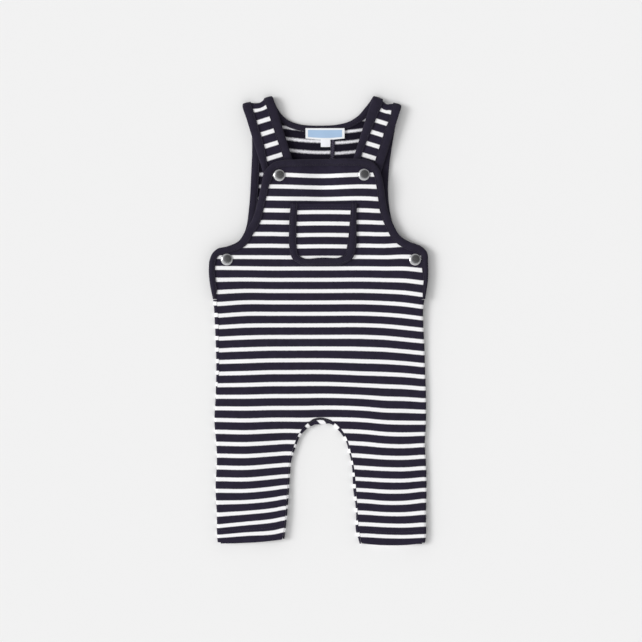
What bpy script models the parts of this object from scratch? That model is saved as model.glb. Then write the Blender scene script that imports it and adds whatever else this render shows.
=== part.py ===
"""Striped baby dungarees, laid flat on their back with every snap closed: the construction.

Run it with: blender --background --python part.py

X runs across the garment, Y from the leg hems to the shoulders and Z up from the surface
that it lies on. Lengths are in millimetres, and become metres where a mesh is made. Each
panel is drawn flat, as it is cut, in its own (across, along, height) coordinates. A place
function then lays it: it rolls the sides, turns up the hems and folds the straps over the
shoulders, and whatever is sewn to the panel goes through the same function.
"""
import math

import bmesh
import bpy
import numpy as np
from mathutils import Vector
from mathutils.geometry import delaunay_2d_cdt

MM = 0.001
ORIGIN = (0.05, 236.03, 0.0)    # middle of the floor that the garment covers

# ---------------------------------------------------------------- cloth and seams
CLOTH = 1.2                     # wall of the striped jersey
TAPE = 1.0                      # wall of the navy binding tape
LABEL = 1.0                     # wall of the label and of the size tag
GAP = 0.3                       # between pieces that are sewn together
HALF = CLOTH / 2
BOUND = HALF + GAP + TAPE       # from the middle of a bound panel to the outside of its tape
TAPE_NOSE = 1.2                 # tape in front of the panel's raw edge
RAW_EDGE = TAPE_NOSE + GAP      # from the outer edge of the tape to the panel's raw edge
TAPE_ROUND = 1.1                # bevel of the tape's fold

# ---------------------------------------------------------------- heights above the floor
BACK_FLAT = HALF                # middle of the back panels
BACK_BOUND = BOUND              # the same, where tape goes round the edge
FRONT_REST = BACK_FLAT + CLOTH + GAP   # middle of the front panel where it lies on the back
FRONT_SIDE = 4.0                # the same beside the rolled sides and the inner-leg seam
FRONT_BOUND = BACK_BOUND + 2 * BOUND + 0.4
FRONT_CORNER = 10.3             # bib corner, over the strap that ends under it
FRONT_HEM = 5.5                 # over the four layers of a leg hem
FRONT_WAVE = 0.6                # slack in the front panel
WAVE_LENGTHS = (23.0, 41.0, 29.0, 57.0)
STRAP_HIGH = 6.6                # strap where it has just been folded over
STRAP_LOW = 4.75                # strap end, under the bib
SNAP_BIB = 9.3                  # front panel round a bib snap
SNAP_WAIST = FRONT_BOUND        # front panel round a waist snap
BIB_SAG = {"at": (4.0, 405.0), "size": (30.0, 60.0), "share": 0.62}   # between the straps
POCKET_PUFF = 0.9
LABEL_STEP = 1.4                # rise of the label where it lies over the neck tape
LABEL_RISE = (-5.0, 1.4)        # where it rises, from the label's middle

# Distances over which one height changes into another.
BACK_RISE = (10.0, 26.0)        # from a bound edge of the back
FRONT_RISE = (10.0, 60.0)       # from the bound edge of the front
SIDE_RISE = (6.0, 36.0)         # from the sides and the inner-leg seam
HEM_RISE = (17.0, 70.0)         # from a hem
POCKET_RISE = (9.0, 24.0)       # from the edge of the pocket
SNAP_PAD = (7.0, 26.0)          # from the middle of a snap, on the front
WAIST_PAD = (18.0, 30.0)        # the same on the back
CORNER_PAD = (17.0, 56.0)       # from the middle of a bib corner
CORNER_PAST = 6.0               # that middle lies so far above the snap

# ---------------------------------------------------------------- outlines
VENT_BASE = 257.6               # top of the side seams, where the waist tabs begin
VENT_CLIP = 0.2                 # half the width of the clip into each panel there
CLIP_DEPTH = 1.6                # how far the clip reaches past the rolled side
TAPE_START = VENT_BASE + 0.6

# Outer edge of the bib and the waist tabs, from the left vent round to the right one.
BIB_EDGE = (
    # across, along
    (-110.8, TAPE_START), (-114.2, 276.0), (-115.1, 291.0), (-114.0, 300.4), (-111.0, 306.8),
    (-106.5, 310.8), (-95.1, 313.8), (-84.0, 319.0), (-76.6, 330.0), (-69.7, 341.5),
    (-65.3, 355.0), (-61.6, 370.5), (-58.9, 383.0), (-57.4, 390.3), (-53.4, 396.0),
    (-47.6, 400.9), (-39.0, 403.4), (-20.0, 404.5), (4.0, 405.0), (38.0, 405.1),
    (50.5, 404.1), (57.2, 401.6), (62.0, 396.6), (65.4, 389.6), (67.5, 381.0), (69.1, 372.0),
    (70.5, 361.5), (73.6, 348.4), (78.8, 336.2), (85.5, 324.9), (95.8, 318.2),
    (106.7, 314.3), (113.6, 308.0), (115.1, 295.0), (114.9, 278.0), (112.0, TAPE_START),
)
# Outer edge of each back panel, from its vent up to the shoulder fold.
BACK_EDGES = {
    "left": (
        # across, along
        (-110.3, TAPE_START), (-113.6, 276.0), (-114.5, 290.5), (-112.3, 301.5),
        (-105.6, 309.3), (-95.0, 312.9), (-82.9, 319.0), (-76.0, 334.0), (-73.2, 353.0),
        (-70.8, 390.0), (-69.9, 424.0), (-71.0, 439.5), (-75.7, 453.5), (-80.5, 463.2),
    ),
    "right": (
        # across, along
        (111.4, TAPE_START), (114.2, 278.0), (114.4, 295.0), (112.5, 306.8), (106.3, 313.8),
        (96.6, 317.5), (85.4, 324.2), (78.7, 336.0), (75.2, 350.0), (73.5, 364.0),
        (73.7, 390.0), (76.7, 415.0), (79.4, 431.0), (82.8, 448.0), (87.7, 461.9),
    ),
}
# Back neck, from the left shoulder fold to the right one.
NECK_EDGE = (
    # across, along
    (-48.0, 471.7), (-44.1, 461.0), (-38.4, 451.9), (-30.5, 445.5), (-20.0, 442.0),
    (-8.0, 440.7), (4.0, 440.6), (20.0, 441.7), (31.7, 444.7), (41.4, 450.7),
    (49.6, 460.2), (57.2, 471.9),
)
# Seam of the inner legs and the crotch, from the right hem to the left one. The last column
# is how far the inseam strip shows beyond it.
INSEAM = (
    # across, along, reach
    (44.8, 3.0, 0.9), (43.8, 10.0, 1.9), (42.2, 18.0, 2.2), (41.6, 28.0, 1.0),
    (40.8, 42.0, 0.9), (40.0, 54.0, 1.9), (39.3, 64.0, 2.2), (38.4, 73.0, 1.6),
    (37.0, 84.0, 0.9), (34.3, 96.5, 0.9), (30.2, 111.0, 1.1), (22.7, 123.1, 2.2),
    (13.2, 130.8, 2.8), (8.0, 132.8, 4.8), (0.5, 133.6, 6.0), (-5.0, 132.3, 5.2),
    (-10.4, 128.9, 4.0), (-16.6, 122.7, 2.5), (-22.2, 114.0, 1.6), (-26.8, 101.0, 1.2),
    (-30.2, 90.0, 0.9), (-31.8, 74.0, 0.9), (-33.1, 54.6, 0.9), (-34.8, 32.0, 0.9),
    (-36.3, 18.0, 0.9), (-37.6, 7.0, 0.9),
)
# Outermost points of the rolled sides.
SIDES = (
    # along, left, right
    (-20.0, -105.0, 111.0), (1.0, -105.8, 111.8), (8.0, -106.5, 112.9), (30.0, -106.8, 113.0),
    (62.0, -108.2, 113.6), (89.0, -106.8, 112.9), (105.0, -107.3, 111.8),
    (127.0, -109.3, 113.0), (160.0, -107.9, 113.0), (185.0, -107.4, 112.0),
    (207.0, -107.8, 111.4), (233.0, -108.9, 110.2), (250.0, -109.8, 110.2),
    (262.0, -111.2, 112.2),
)
# How far round a side the back panel comes: 0 is the floor side, 1 the top.
WRAP = (
    # along, left, right
    (-20.0, 0.55, 0.38), (150.0, 0.55, 0.38), (182.0, 1.12, 0.38), (262.0, 1.12, 0.38),
)
# Hem of each leg: its lowest point, and how far it has risen a given way from there.
HEMS = {
    "left": {"lowest": (-104.0, 2.4), "rise": 3.2, "over": 67.0},
    "right": {"lowest": (77.0, 0.2), "rise": 1.4, "over": 27.0},
}
HEM_CURVE = 2.3
HEM_TURN = 16.0                 # cloth turned up inside
HEM_FOLD = HALF + GAP / 2       # radius of the turn, to the middle of the cloth
HEM_INSET = 0.6                 # the turned cloth stops this far from the seams
STRIP_EDGE = 0.15               # flat edge of the inseam strip

# Shoulder folds as laid, from the outer edge of a strap to its inner edge, and the way that
# the flat strap runs past the fold. The strap sinks to its end between the heights of sink.
# Between its tapes a fold dips: the rows give shares of the way along it, and how far.
FOLDS = {
    "left": {"outer": (-80.5, 463.2), "inner": (-48.0, 471.8), "axis": (-0.2155, 0.9765),
             "sink": (396.0, 410.0),
             "dips": ((0.31, 0.0), (0.38, 1.5), (0.5, 2.1), (0.6, 2.3), (0.69, 0.0))},
    "right": {"outer": (87.7, 461.9), "inner": (57.2, 472.0), "axis": (0.3312, 0.9436),
              "sink": (395.0, 408.0),
              "dips": ((0.325, 0.0), (0.41, 2.3), (0.5, 2.5), (0.6, 1.5), (0.675, 0.0))},
}
STRAP_RUN = 98.0                # strap past the fold
STRAP_POINTS = (0.15, 0.5, 1.0)     # points of its straight edges, as shares of that
STRAP_ACROSS = 30.0             # the straps lie further from the middle than this
FOLD_RADIUS = (STRAP_HIGH - BACK_BOUND) / 2
FOLD_CORNER = 1.8               # radius of a fold's rounded corners
FOLD_ROUND = 0.8                # share of a full round that they have
DIP_REACH = (3.0, 16.0)         # both fade between these distances from the fold
SHOULDER = (432.0, 452.0)       # yoke below, strap above

BACK_SEAM = ((13.6, 441.5), (0.5, 133.6))   # centre back seam, top and bottom

# ---------------------------------------------------------------- tape widths
# Width of each tape as it shows, by the place along the flat panel that it is sewn to.
TAPE_WIDTHS = {
    "bib_left": (
        # along, width
        (TAPE_START, 2.6), (267.0, 6.6), (298.0, 6.7), (314.0, 7.2), (321.0, 8.8), (345.0, 8.8),
        (362.0, 8.1), (385.0, 7.8), (394.0, 7.4), (404.0, 7.3),
    ),
    "bib_right": (
        (TAPE_START, 2.6), (266.0, 4.3), (279.0, 4.6), (288.0, 6.6), (298.0, 6.7),
        (316.0, 8.5), (345.0, 8.4), (362.0, 7.8), (388.0, 7.6), (404.0, 7.3),
    ),
    "arm_left": (
        (TAPE_START, 2.6), (267.0, 6.5), (318.0, 6.5), (340.0, 8.5), (448.0, 8.5), (466.0, 9.6),
    ),
    "arm_right": (
        (TAPE_START, 2.6), (267.0, 6.5), (318.0, 6.5), (340.0, 8.5), (374.0, 8.5), (384.0, 7.3),
        (395.0, 6.3), (404.0, 6.3), (414.0, 8.5), (448.0, 8.5), (466.0, 9.6),
    ),
    "neck": ((448.0, 6.5), (466.0, 9.6), (536.0, 9.6), (546.0, 8.2)),
}
# The same for the pocket's tape, by the share of the way round the U.
POCKET_WIDTHS = (
    # share, width
    (0.0, 6.4), (0.14, 6.5), (0.24, 8.2), (0.36, 8.0), (0.46, 7.4), (0.64, 6.9), (0.72, 7.4),
    (0.86, 8.1), (1.0, 7.4),
)

# ---------------------------------------------------------------- pocket, label and snaps
# Outer edge of the pocket's tape, from the right end of its mouth to the left one.
POCKET_EDGE = (
    # across, along
    (40.5, 358.2), (39.9, 344.0), (40.0, 330.0), (39.3, 311.5), (35.4, 300.6),
    (26.0, 295.0), (4.0, 294.4), (-19.0, 295.0), (-27.4, 300.8), (-30.6, 313.0),
    (-31.0, 330.0), (-30.4, 344.0), (-29.0, 358.4),
)
POCKET_LIFT = CLOTH + GAP + 0.15   # middle of the patch above the middle of the bib
MOUTH_POINTS = (0.14, 0.32, 0.49, 0.68, 0.86)   # points of the pocket's mouth, as shares

LABEL_SIZE = (41.0, 10.6)
LABEL_AT = (6.9, 432.3)
TAG_SIZE = (10.0, 8.6)
TAG_AT = (7.4, 422.3)

SNAPS = {
    # where it is, middle of the cloth under it, middle of the cloth over it
    "bib_left": ((-41.1, 387.9), STRAP_LOW, SNAP_BIB),
    "bib_right": ((47.7, 388.6), STRAP_LOW, SNAP_BIB),
    "waist_left": ((-96.2, 299.8), BACK_BOUND, SNAP_WAIST),
    "waist_right": ((101.4, 299.7), BACK_BOUND, SNAP_WAIST),
}
CAP_PROFILE = (
    # radius, height
    (0.0, 2.1), (2.6, 1.9), (4.6, 1.5), (5.2, 1.6), (6.0, 1.2), (6.2, 0.5), (5.7, 0.0),
    (0.0, 0.0),
)
SOCKET_RADIUS = 4.6
STUD_RADIUS = 4.2
STUD_NECK = 1.9
STUD_SHARE = 0.48               # of the room between the cloths; the socket has the rest
STUD_PLATE = 0.5                # share of the stud's height

# ---------------------------------------------------------------- mesh spacing
STEP = 9.5                      # between stations along an edge
LATTICE = 13.0                  # between points inside a panel
CROWDING = 0.62                 # least distance from a lattice point, in spacings
TURN = math.radians(24)         # bend of an edge between stations
FOLD_STEP = 1.2                 # between stations round a shoulder fold
FOLD_ROWS = 6                   # rows of points round a shoulder fold
FOLD_SHARES = (0.36, 0.5, 0.64)   # where they lie across the strap
FOLD_SQUARE = (1.0, 10.0)       # tape is laid square to a fold between these distances
RING = 9.8                      # ring of points inside a bound edge, just past the tape
RING_SLACK = 1.6                # a point may lie nearer than that by this much
SNAP_RING = 7.5                 # ring of points round a snap
SEAM_ROW = 7.0                  # row of points beside the inner-leg seam
SIDE_ROW = 4.5                  # the same beside the roll of a side
ROLL_STEP = 1.3                 # between rows of points round a rolled side
SIDE_STATIONS = 27              # along a side seam
SEAM_STATIONS = 26              # along the centre back seam
HEM_STATIONS = 8                # across a hem
HEM_ROW = 8.5                   # row of points on the turned cloth of a hem
STRIP_STATIONS = 7              # round the inseam strip
ROUND_STEPS = 24                # round a snap
APART = 0.35                    # least distance between two points of a panel's rows
OFF_EDGE = 0.25                 # least distance from such a point to the panel's edge
SHARP = math.radians(40)        # edges that bend more stay sharp

NAVY = (0.022, 0.019, 0.033, 1.0)
STRIPED = (0.14, 0.135, 0.16, 1.0)
WHITE = (0.90, 0.91, 0.91, 1.0)
LABEL_BLUE = (0.34, 0.53, 0.74, 1.0)
METAL = (0.42, 0.41, 0.39, 1.0)


# ---------------------------------------------------------------- curves
def smooth_line(points, step=1.0):
    """A dense line through the points, smooth however unevenly they are spaced."""
    points = np.array(points, float)
    chord = np.linalg.norm(np.diff(points[:, :2], axis=0), axis=1)
    slope = np.diff(points, axis=0) / chord[:, None]
    blend = (chord[:-1] / (chord[:-1] + chord[1:]))[:, None]
    inner = slope[:-1] * (1 - blend) + slope[1:] * blend
    tangent = np.vstack([slope[:1], inner, slope[-1:]])
    spans = []
    for i, length in enumerate(chord):
        t = np.linspace(0, 1, max(2, round(length / step)), endpoint=False)[:, None]
        places = points[i] * (1 + 2 * t) * (1 - t) ** 2 + points[i + 1] * t * t * (3 - 2 * t)
        pull = tangent[i] * t * (1 - t) ** 2 - tangent[i + 1] * t * t * (1 - t)
        spans.append(places + length * pull)
    return np.vstack(spans + [points[-1:]])


def stations(line, fine=None):
    """Points and right-hand normals along a line, closer where it bends or is to be fine."""
    move = np.diff(line[:, :2], axis=0)
    length = np.linalg.norm(move, axis=1)
    heading = np.unwrap(np.arctan2(move[:, 1], move[:, 0]))
    bend = np.abs(np.diff(heading, append=heading[-1]))
    cost = length / STEP + bend / TURN
    if fine is not None:
        cost += length * fine(line[:-1, 0], line[:-1, 1])
    cost = np.concatenate([[0.0], np.cumsum(cost)])
    at = np.linspace(0, cost[-1], max(2, math.ceil(cost[-1])) + 1)
    points = np.column_stack([np.interp(at, cost, column) for column in line.T])
    heading = np.interp(at, (cost[:-1] + cost[1:]) / 2, heading)
    return points, np.column_stack([np.sin(heading), -np.cos(heading)])


def distance(u, v, line):
    """Distance of each point from a line."""
    start = line[:-1, :2]
    move = np.diff(line[:, :2], axis=0)
    gap_u = np.ravel(u)[:, None] - start[:, 0]
    gap_v = np.ravel(v)[:, None] - start[:, 1]
    t = np.clip((gap_u * move[:, 0] + gap_v * move[:, 1]) / (move ** 2).sum(axis=1), 0, 1)
    away = np.hypot(gap_u - t * move[:, 0], gap_v - t * move[:, 1])
    return away.min(axis=1).reshape(np.shape(u))


def inside(u, v, outline):
    """Which points lie inside a closed outline."""
    crossed = np.zeros(np.shape(u), int)
    for (ax, ay), (bx, by) in zip(outline, np.roll(outline, -1, axis=0)):
        rise = by - ay if by != ay else 1.0
        crossed += ((ay > v) != (by > v)) & (u < ax + (v - ay) * (bx - ax) / rise)
    return crossed % 2 == 1


def ease(value, near, far):
    """1 up to near and 0 from far on, with a smooth change between."""
    t = np.clip((far - value) / (far - near), 0, 1)
    return t * t * (3 - 2 * t)


def strap_edge(side, edge):
    """The straight strap edge from past the shoulder fold to the strap end."""
    fold = FOLDS[side]
    return np.array(fold[edge]) + np.outer(STRAP_POINTS, fold["axis"]) * STRAP_RUN


def split(line, at):
    """Cuts a line in two at its nearest place to a point."""
    cut = int(np.argmin(np.hypot(line[:, 0] - at[0], line[:, 1] - at[1])))
    return line[:cut + 1], line[cut:]


BIB_LINE = smooth_line(BIB_EDGE)
POCKET_LINE = smooth_line(POCKET_EDGE)
INSEAM_LINE = smooth_line(INSEAM)
ARM_LINES = {side: smooth_line(np.vstack([edge, strap_edge(side, "outer")]))
             for side, edge in BACK_EDGES.items()}
NECK_LINE = smooth_line(np.vstack([strap_edge("left", "inner")[::-1], NECK_EDGE,
                                   strap_edge("right", "inner")]))
SIDE_LINES = {side: smooth_line([(row[0], row[column]) for row in SIDES])
              for side, column in (("left", 1), ("right", 2))}


# ---------------------------------------------------------------- laying the panels
def hem_line(u):
    """Where the outside of a hem fold lies, along the legs."""
    height = np.zeros(np.shape(u))
    for side, sign in (("left", -1), ("right", 1)):
        hem = HEMS[side]
        across, low = hem["lowest"]
        rise = hem["rise"] * np.minimum(np.abs(u - across) / hem["over"], 1) ** HEM_CURVE
        height = np.where(sign * u > 0, low + rise, height)
    return height


def hem_base(u):
    """Where the turn of a hem starts on the flat cloth, along the legs."""
    return hem_line(u) + HALF + HEM_FOLD


def back_height(u, v):
    """Middle of the back panels above the floor."""
    edges = np.minimum(distance(u, v, NECK_LINE), distance(u, v, ARM_LINES["left"]))
    edges = np.minimum(edges, distance(u, v, ARM_LINES["right"]))
    bound = np.maximum(ease(edges, *BACK_RISE), 1 - ease(v, *SHOULDER))
    height = BACK_FLAT + (BACK_BOUND - BACK_FLAT) * bound
    for (x, y), under, _ in SNAPS.values():
        if under == BACK_BOUND:
            level = ease(np.hypot(u - x, v - y), *WAIST_PAD)
            height = height * (1 - level) + under * level
    return height


def front_height(u, v):
    """Middle of the front panel above the floor."""
    edges = distance(u, v, INSEAM_LINE)
    for line in SIDE_LINES.values():
        edges = np.minimum(edges, np.abs(u - np.interp(v, line[:, 0], line[:, 1])))
    height = FRONT_REST + (FRONT_SIDE - FRONT_REST) * ease(edges, *SIDE_RISE)
    one, two, three, four = WAVE_LENGTHS
    wave = (1 + np.sin(u / one + v / two) * np.sin(v / three - u / four)) / 2
    height += FRONT_WAVE * wave * (1 - ease(edges, *SIDE_RISE))
    height += (FRONT_HEM - height) * ease(v - hem_line(u), *HEM_RISE)
    (middle, top), (wide, deep) = BIB_SAG["at"], BIB_SAG["size"]
    sag = BIB_SAG["share"] * ease(np.hypot((u - middle) / wide, (v - top) / deep), 0.2, 1.0)
    height += (FRONT_BOUND - height) * ease(distance(u, v, BIB_LINE), *FRONT_RISE) * (1 - sag)
    for (x, y), _, over in SNAPS.values():
        if over == SNAP_BIB:
            corner = ease(np.hypot(u - x, v - y - CORNER_PAST), *CORNER_PAD)
            height += (FRONT_CORNER - height) * corner
        level = ease(np.hypot(u - x, v - y), *SNAP_PAD)
        height = height * (1 - level) + over * level
    return height


def pocket_height(u, v):
    """Middle of the pocket above the floor."""
    puff = 1 - ease(distance(u, v, POCKET_LINE), *POCKET_RISE)
    return front_height(u, v) + POCKET_LIFT + POCKET_PUFF * puff


def roll_start(side, v):
    """Where the roll of a side begins across the garment, and its radius."""
    line = SIDE_LINES[side]
    sign = -1 if side == "left" else 1
    outermost = np.interp(v, line[:, 0], line[:, 1])
    inner = outermost - sign * SIDE_ROW
    radius = (front_height(inner, v) - back_height(inner, v)) / 2
    return outermost - sign * (HALF + radius), radius


def roll_sides(u, v, w, panel):
    """Lays points of the front or the back: level inside, and round the side seams."""
    seamed = v < VENT_BASE
    left = np.where(seamed, roll_start("left", v)[0], u)
    right = np.where(seamed, roll_start("right", v)[0], u)
    level = np.clip(u, left, right)
    high = front_height(level, v)
    low = back_height(level, v)
    middle = (high + low) / 2
    radius = (high - low) / 2
    past = np.abs(u - level)
    angle = np.minimum(past / radius, math.pi)
    over = np.maximum(past - math.pi * radius, 0)
    if panel == "front":
        across = (radius + w) * np.sin(angle) - over
        height = middle + (radius + w) * np.cos(angle)
    else:
        across = (radius - w) * np.sin(angle) - over
        height = middle - (radius - w) * np.cos(angle)
    return np.stack([level + np.sign(u - level) * across, v, height], axis=-1)


def turn_hem(u, v, w, inward):
    """Turns what lies past a hem up inside the leg; inward is 1 where the inside is up."""
    past = hem_base(u) - v
    angle = np.clip(past / HEM_FOLD, 0, math.pi)
    radius = HEM_FOLD - inward * w
    up = np.maximum(past - math.pi * HEM_FOLD, 0)
    laid = np.where(past > 0, v + past - radius * np.sin(angle) + up, v)
    return laid, inward * (HEM_FOLD - radius * np.cos(angle))


def front_place(u, v, w):
    """Lays points of the flat front."""
    v, w = turn_hem(u, v, w, -1)
    return roll_sides(u, v, w, "front")


def fold_frame(side):
    """Outer end of a shoulder fold, the way along it, the way past it, and its length."""
    outer, inner = (np.array(FOLDS[side][end]) for end in ("outer", "inner"))
    length = np.linalg.norm(inner - outer)
    along = (inner - outer) / length
    past = np.array((-along[1], along[0]))
    return outer, along, past * np.sign(past[1]), length


def past_fold(u, v, side):
    """How far points of the flat strap lie past the start of the shoulder fold."""
    outer, _, out, _ = fold_frame(side)
    return (u - outer[0]) * out[0] + (v - outer[1]) * out[1] + FOLD_RADIUS + BOUND


def fold_dip(u, v, side):
    """How far a shoulder fold falls short of the straight line between its ends: between its
    tapes, and at its rounded corners."""
    outer, along, _, length = fold_frame(side)
    run = (u - outer[0]) * along[0] + (v - outer[1]) * along[1]
    places, depths = np.array(FOLDS[side]["dips"]).T
    corner = np.clip(1 - np.minimum(run, length - run) / FOLD_CORNER, 0, 1)
    missing = FOLD_CORNER * FOLD_ROUND * (1 - np.sqrt(1 - corner ** 2))
    return np.interp(run / length, places, depths) + missing


def back_place(u, v, w):
    """Lays points of the flat back halves, straps too."""
    v, w = turn_hem(u, v, w, 1)
    laid = roll_sides(u, v, w, "back")
    for side, sign in (("left", -1), ("right", 1)):
        out = fold_frame(side)[2]
        past = past_fold(u, v, side)
        angle = np.clip(past / FOLD_RADIUS, 0, math.pi)
        reach = (FOLD_RADIUS - w) * np.sin(angle) - np.maximum(past - math.pi * FOLD_RADIUS, 0)
        dip = fold_dip(u, v, side) * ease(np.abs(past - math.pi * FOLD_RADIUS / 2), *DIP_REACH)
        strap = (sign * u > STRAP_ACROSS) & (v > SHOULDER[0])
        shift = np.where(past > 0, reach - past, 0) - dip
        x = u + out[0] * shift
        y = v + out[1] * shift
        low, high = FOLDS[side]["sink"]
        top = STRAP_LOW + (STRAP_HIGH - STRAP_LOW) * (1 - ease(y, low, high))
        turned = BACK_BOUND + FOLD_RADIUS - (FOLD_RADIUS - w) * np.cos(angle)
        z = np.where(past > math.pi * FOLD_RADIUS, top - w, turned)
        z = np.where(past > 0, z, laid[..., 2])
        folded = np.stack([x, y, z], axis=-1)
        laid = np.where(strap[..., None], folded, laid)
    return laid


def pocket_place(u, v, w):
    """Lays points of the flat pocket on the bib."""
    return np.stack([u, v, pocket_height(u, v) + w], axis=-1)


def label_place(u, v, w):
    """Lays points of the neck label and the size tag inside the back."""
    step = LABEL_STEP * (1 - ease(v - LABEL_AT[1], *LABEL_RISE))
    height = back_height(u, v) + HALF + GAP + LABEL / 2 + step
    return np.stack([u, v, height + w], axis=-1)


# ---------------------------------------------------------------- making meshes
def finish(name, bm, colour, roughness, metallic=0.0, at=ORIGIN):
    """Makes the named object, in metres, with its own material and its origin at a place."""
    for vert in bm.verts:
        vert.co = (vert.co - Vector(at)) * MM
    mesh = bpy.data.meshes.new(name)
    bm.to_mesh(mesh)
    bm.free()
    mesh.shade_smooth()
    mesh.set_sharp_from_angle(angle=SHARP)
    part = bpy.data.objects.new(name, mesh)
    part.location = (Vector(at) - Vector(ORIGIN)) * MM
    material = bpy.data.materials.new(name)
    material.use_nodes = True
    shader = material.node_tree.nodes["Principled BSDF"]
    shader.inputs["Base Color"].default_value = colour
    shader.inputs["Roughness"].default_value = roughness
    shader.inputs["Metallic"].default_value = metallic
    mesh.materials.append(material)
    return part


def lattice(outline, rows, spacing):
    """Points inside an outline, clear of its edge and of the given rows."""
    low = outline.min(axis=0)
    high = outline.max(axis=0)
    lines = np.arange(low[1] + spacing / 3, high[1], spacing * math.sqrt(3) / 2)
    points = []
    for i, along in enumerate(lines):
        across = np.arange(low[0] + spacing * (i % 2) / 2, high[0], spacing)
        points.append(np.column_stack([across, np.full(len(across), along)]))
    points = np.vstack(points)
    closed = np.vstack([outline, outline[:1]])
    keep = inside(points[:, 0], points[:, 1], outline)
    keep &= distance(points[:, 0], points[:, 1], closed) > CROWDING * spacing
    apart = np.linalg.norm(points[:, None, :] - rows[None, :, :], axis=2)
    return points[keep & (apart.min(axis=1) > CROWDING * spacing)]


def panel(name, outline, rows, place, colour, spacing=LATTICE, wall=CLOTH):
    """A wall of cloth cut to an outline, with points along the given rows, and laid."""
    points = np.vstack([outline, rows])
    if spacing:
        points = np.vstack([points, lattice(outline, rows, spacing)])
    count = len(outline)
    rim = [(i, (i + 1) % count) for i in range(count)]
    flat, _, faces, *_ = delaunay_2d_cdt([Vector(p) for p in points], rim, [], 1, 1e-4)
    bm = bmesh.new()
    verts = [bm.verts.new((p.x, p.y, -wall / 2)) for p in flat]
    for face in faces:
        bm.faces.new([verts[i] for i in face])
    bmesh.ops.recalc_face_normals(bm, faces=bm.faces)
    if bm.faces[:][0].normal.z > 0:
        bmesh.ops.reverse_faces(bm, faces=bm.faces)
    raised = bmesh.ops.extrude_face_region(bm, geom=bm.faces[:], use_keep_orig=True)
    top = [item for item in raised["geom"] if isinstance(item, bmesh.types.BMVert)]
    bmesh.ops.translate(bm, verts=top, vec=(0, 0, wall))
    bmesh.ops.recalc_face_normals(bm, faces=bm.faces)
    flat = np.array([vert.co for vert in bm.verts])
    for vert, spot in zip(bm.verts, place(flat[:, 0], flat[:, 1], flat[:, 2])):
        vert.co = spot
    return finish(name, bm, colour, 0.9)


def sweep(name, rings, colour, roughness=0.9):
    """A solid through rings of points, one ring for each station, with both ends closed."""
    bm = bmesh.new()
    verts = [[bm.verts.new(spot) for spot in ring] for ring in rings]
    for one, two in zip(verts, verts[1:]):
        for i in range(len(one)):
            bm.faces.new((one[i - 1], one[i], two[i], two[i - 1]))
    bm.faces.new(verts[0][::-1])
    bm.faces.new(verts[-1])
    bmesh.ops.recalc_face_normals(bm, faces=bm.faces)
    bmesh.ops.triangulate(bm, faces=[face for face in bm.faces if len(face.verts) > 4])
    return finish(name, bm, colour, roughness)


def turned(name, profile, at, height, colour, roughness, metallic):
    """A round piece from its profile, standing on a height above the floor."""
    bm = bmesh.new()
    verts = [bm.verts.new((at[0] + radius, at[1], height + up)) for radius, up in profile]
    for pair in zip(verts, verts[1:]):
        bm.edges.new(pair)
    part = finish(name, bm, colour, roughness, metallic, (*at, height))
    screw = part.modifiers.new("turn", "SCREW")
    screw.steps = screw.render_steps = ROUND_STEPS
    screw.use_merge_vertices = True
    screw.merge_threshold = 0.00001
    return part


# ---------------------------------------------------------------- the pieces
def tape_section(width):
    """Section of a tape folded round an edge: distance in from the fold, and height."""
    rows = [(width, BOUND), (TAPE_ROUND, BOUND), (0.0, BOUND - TAPE_ROUND)]
    rows += [(d, -w) for d, w in rows[::-1]]
    rows += [(width, TAPE - BOUND), (TAPE_NOSE, TAPE - BOUND),
             (TAPE_NOSE, BOUND - TAPE), (width, BOUND - TAPE)]
    return rows


def binding(name, points, normals, widths, place):
    """Tape folded round the edge of a panel."""
    rings = []
    for (u, v), normal, width in zip(points[:, :2], normals, widths):
        section = np.array(tape_section(width))
        spots = (u, v) + np.outer(section[:, 0], normal)
        rings.append(place(spots[:, 0], spots[:, 1], section[:, 1]))
    return sweep(name, rings, NAVY)


def tape_width(points, tape):
    """Width of a tape at the stations of its edge."""
    along, width = np.array(TAPE_WIDTHS[tape]).T
    return np.interp(points[:, 1], along, width)


def bib_widths(points):
    """Width of the bib's tape, which differs a little between its two sides."""
    return np.where(points[:, 0] < 0, tape_width(points, "bib_left"),
                    tape_width(points, "bib_right"))


def pocket_widths(points):
    """Width of the pocket's tape at the stations of its edge."""
    share, width = np.array(POCKET_WIDTHS).T
    return np.interp(np.linspace(0, 1, len(points)), share, width)


def moved(points, normals, inward):
    """A line moved in from an edge."""
    return points[:, :2] + normals * inward


def ring_of(points, normals, line):
    """Points just past the tape, without those that a tight bend would crowd."""
    ring = moved(points, normals, RING)
    clear = distance(ring[:, 0], ring[:, 1], line) > RING - RING_SLACK
    return ring[clear]


def side_rows(side, heights, piece):
    """Edge of a rolled side, from its roll at the hem out, up and in again at the vent, and
    the rows of points beside it."""
    sign = -1 if side == "left" else 1
    start, radius = roll_start(side, heights)
    wrap = np.array(WRAP)
    share = np.interp(heights, wrap[:, 0], wrap[:, 1 if side == "left" else 2])
    reach = share * math.pi * radius
    if piece == "front":
        reach = math.pi * radius - reach - GAP
    rows = [np.column_stack([start - sign * SIDE_ROW, heights])]
    count = max(1, math.ceil(reach.max() / ROLL_STEP))
    for share in np.linspace(0, 1, count, endpoint=False):
        rows.append(np.column_stack([start + sign * reach * share, heights]))
    edge = np.column_stack([start + sign * reach, heights])
    hem = [row[0] for row in rows[1:]]
    vent = [row[-1] for row in rows[:0:-1]]
    return np.vstack([hem, edge, vent]), np.vstack(rows)


def roll_at(side, along):
    """Where the roll of a side begins across the garment, at one place along it."""
    return float(roll_start(side, np.array([along]))[0][0])


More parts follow.
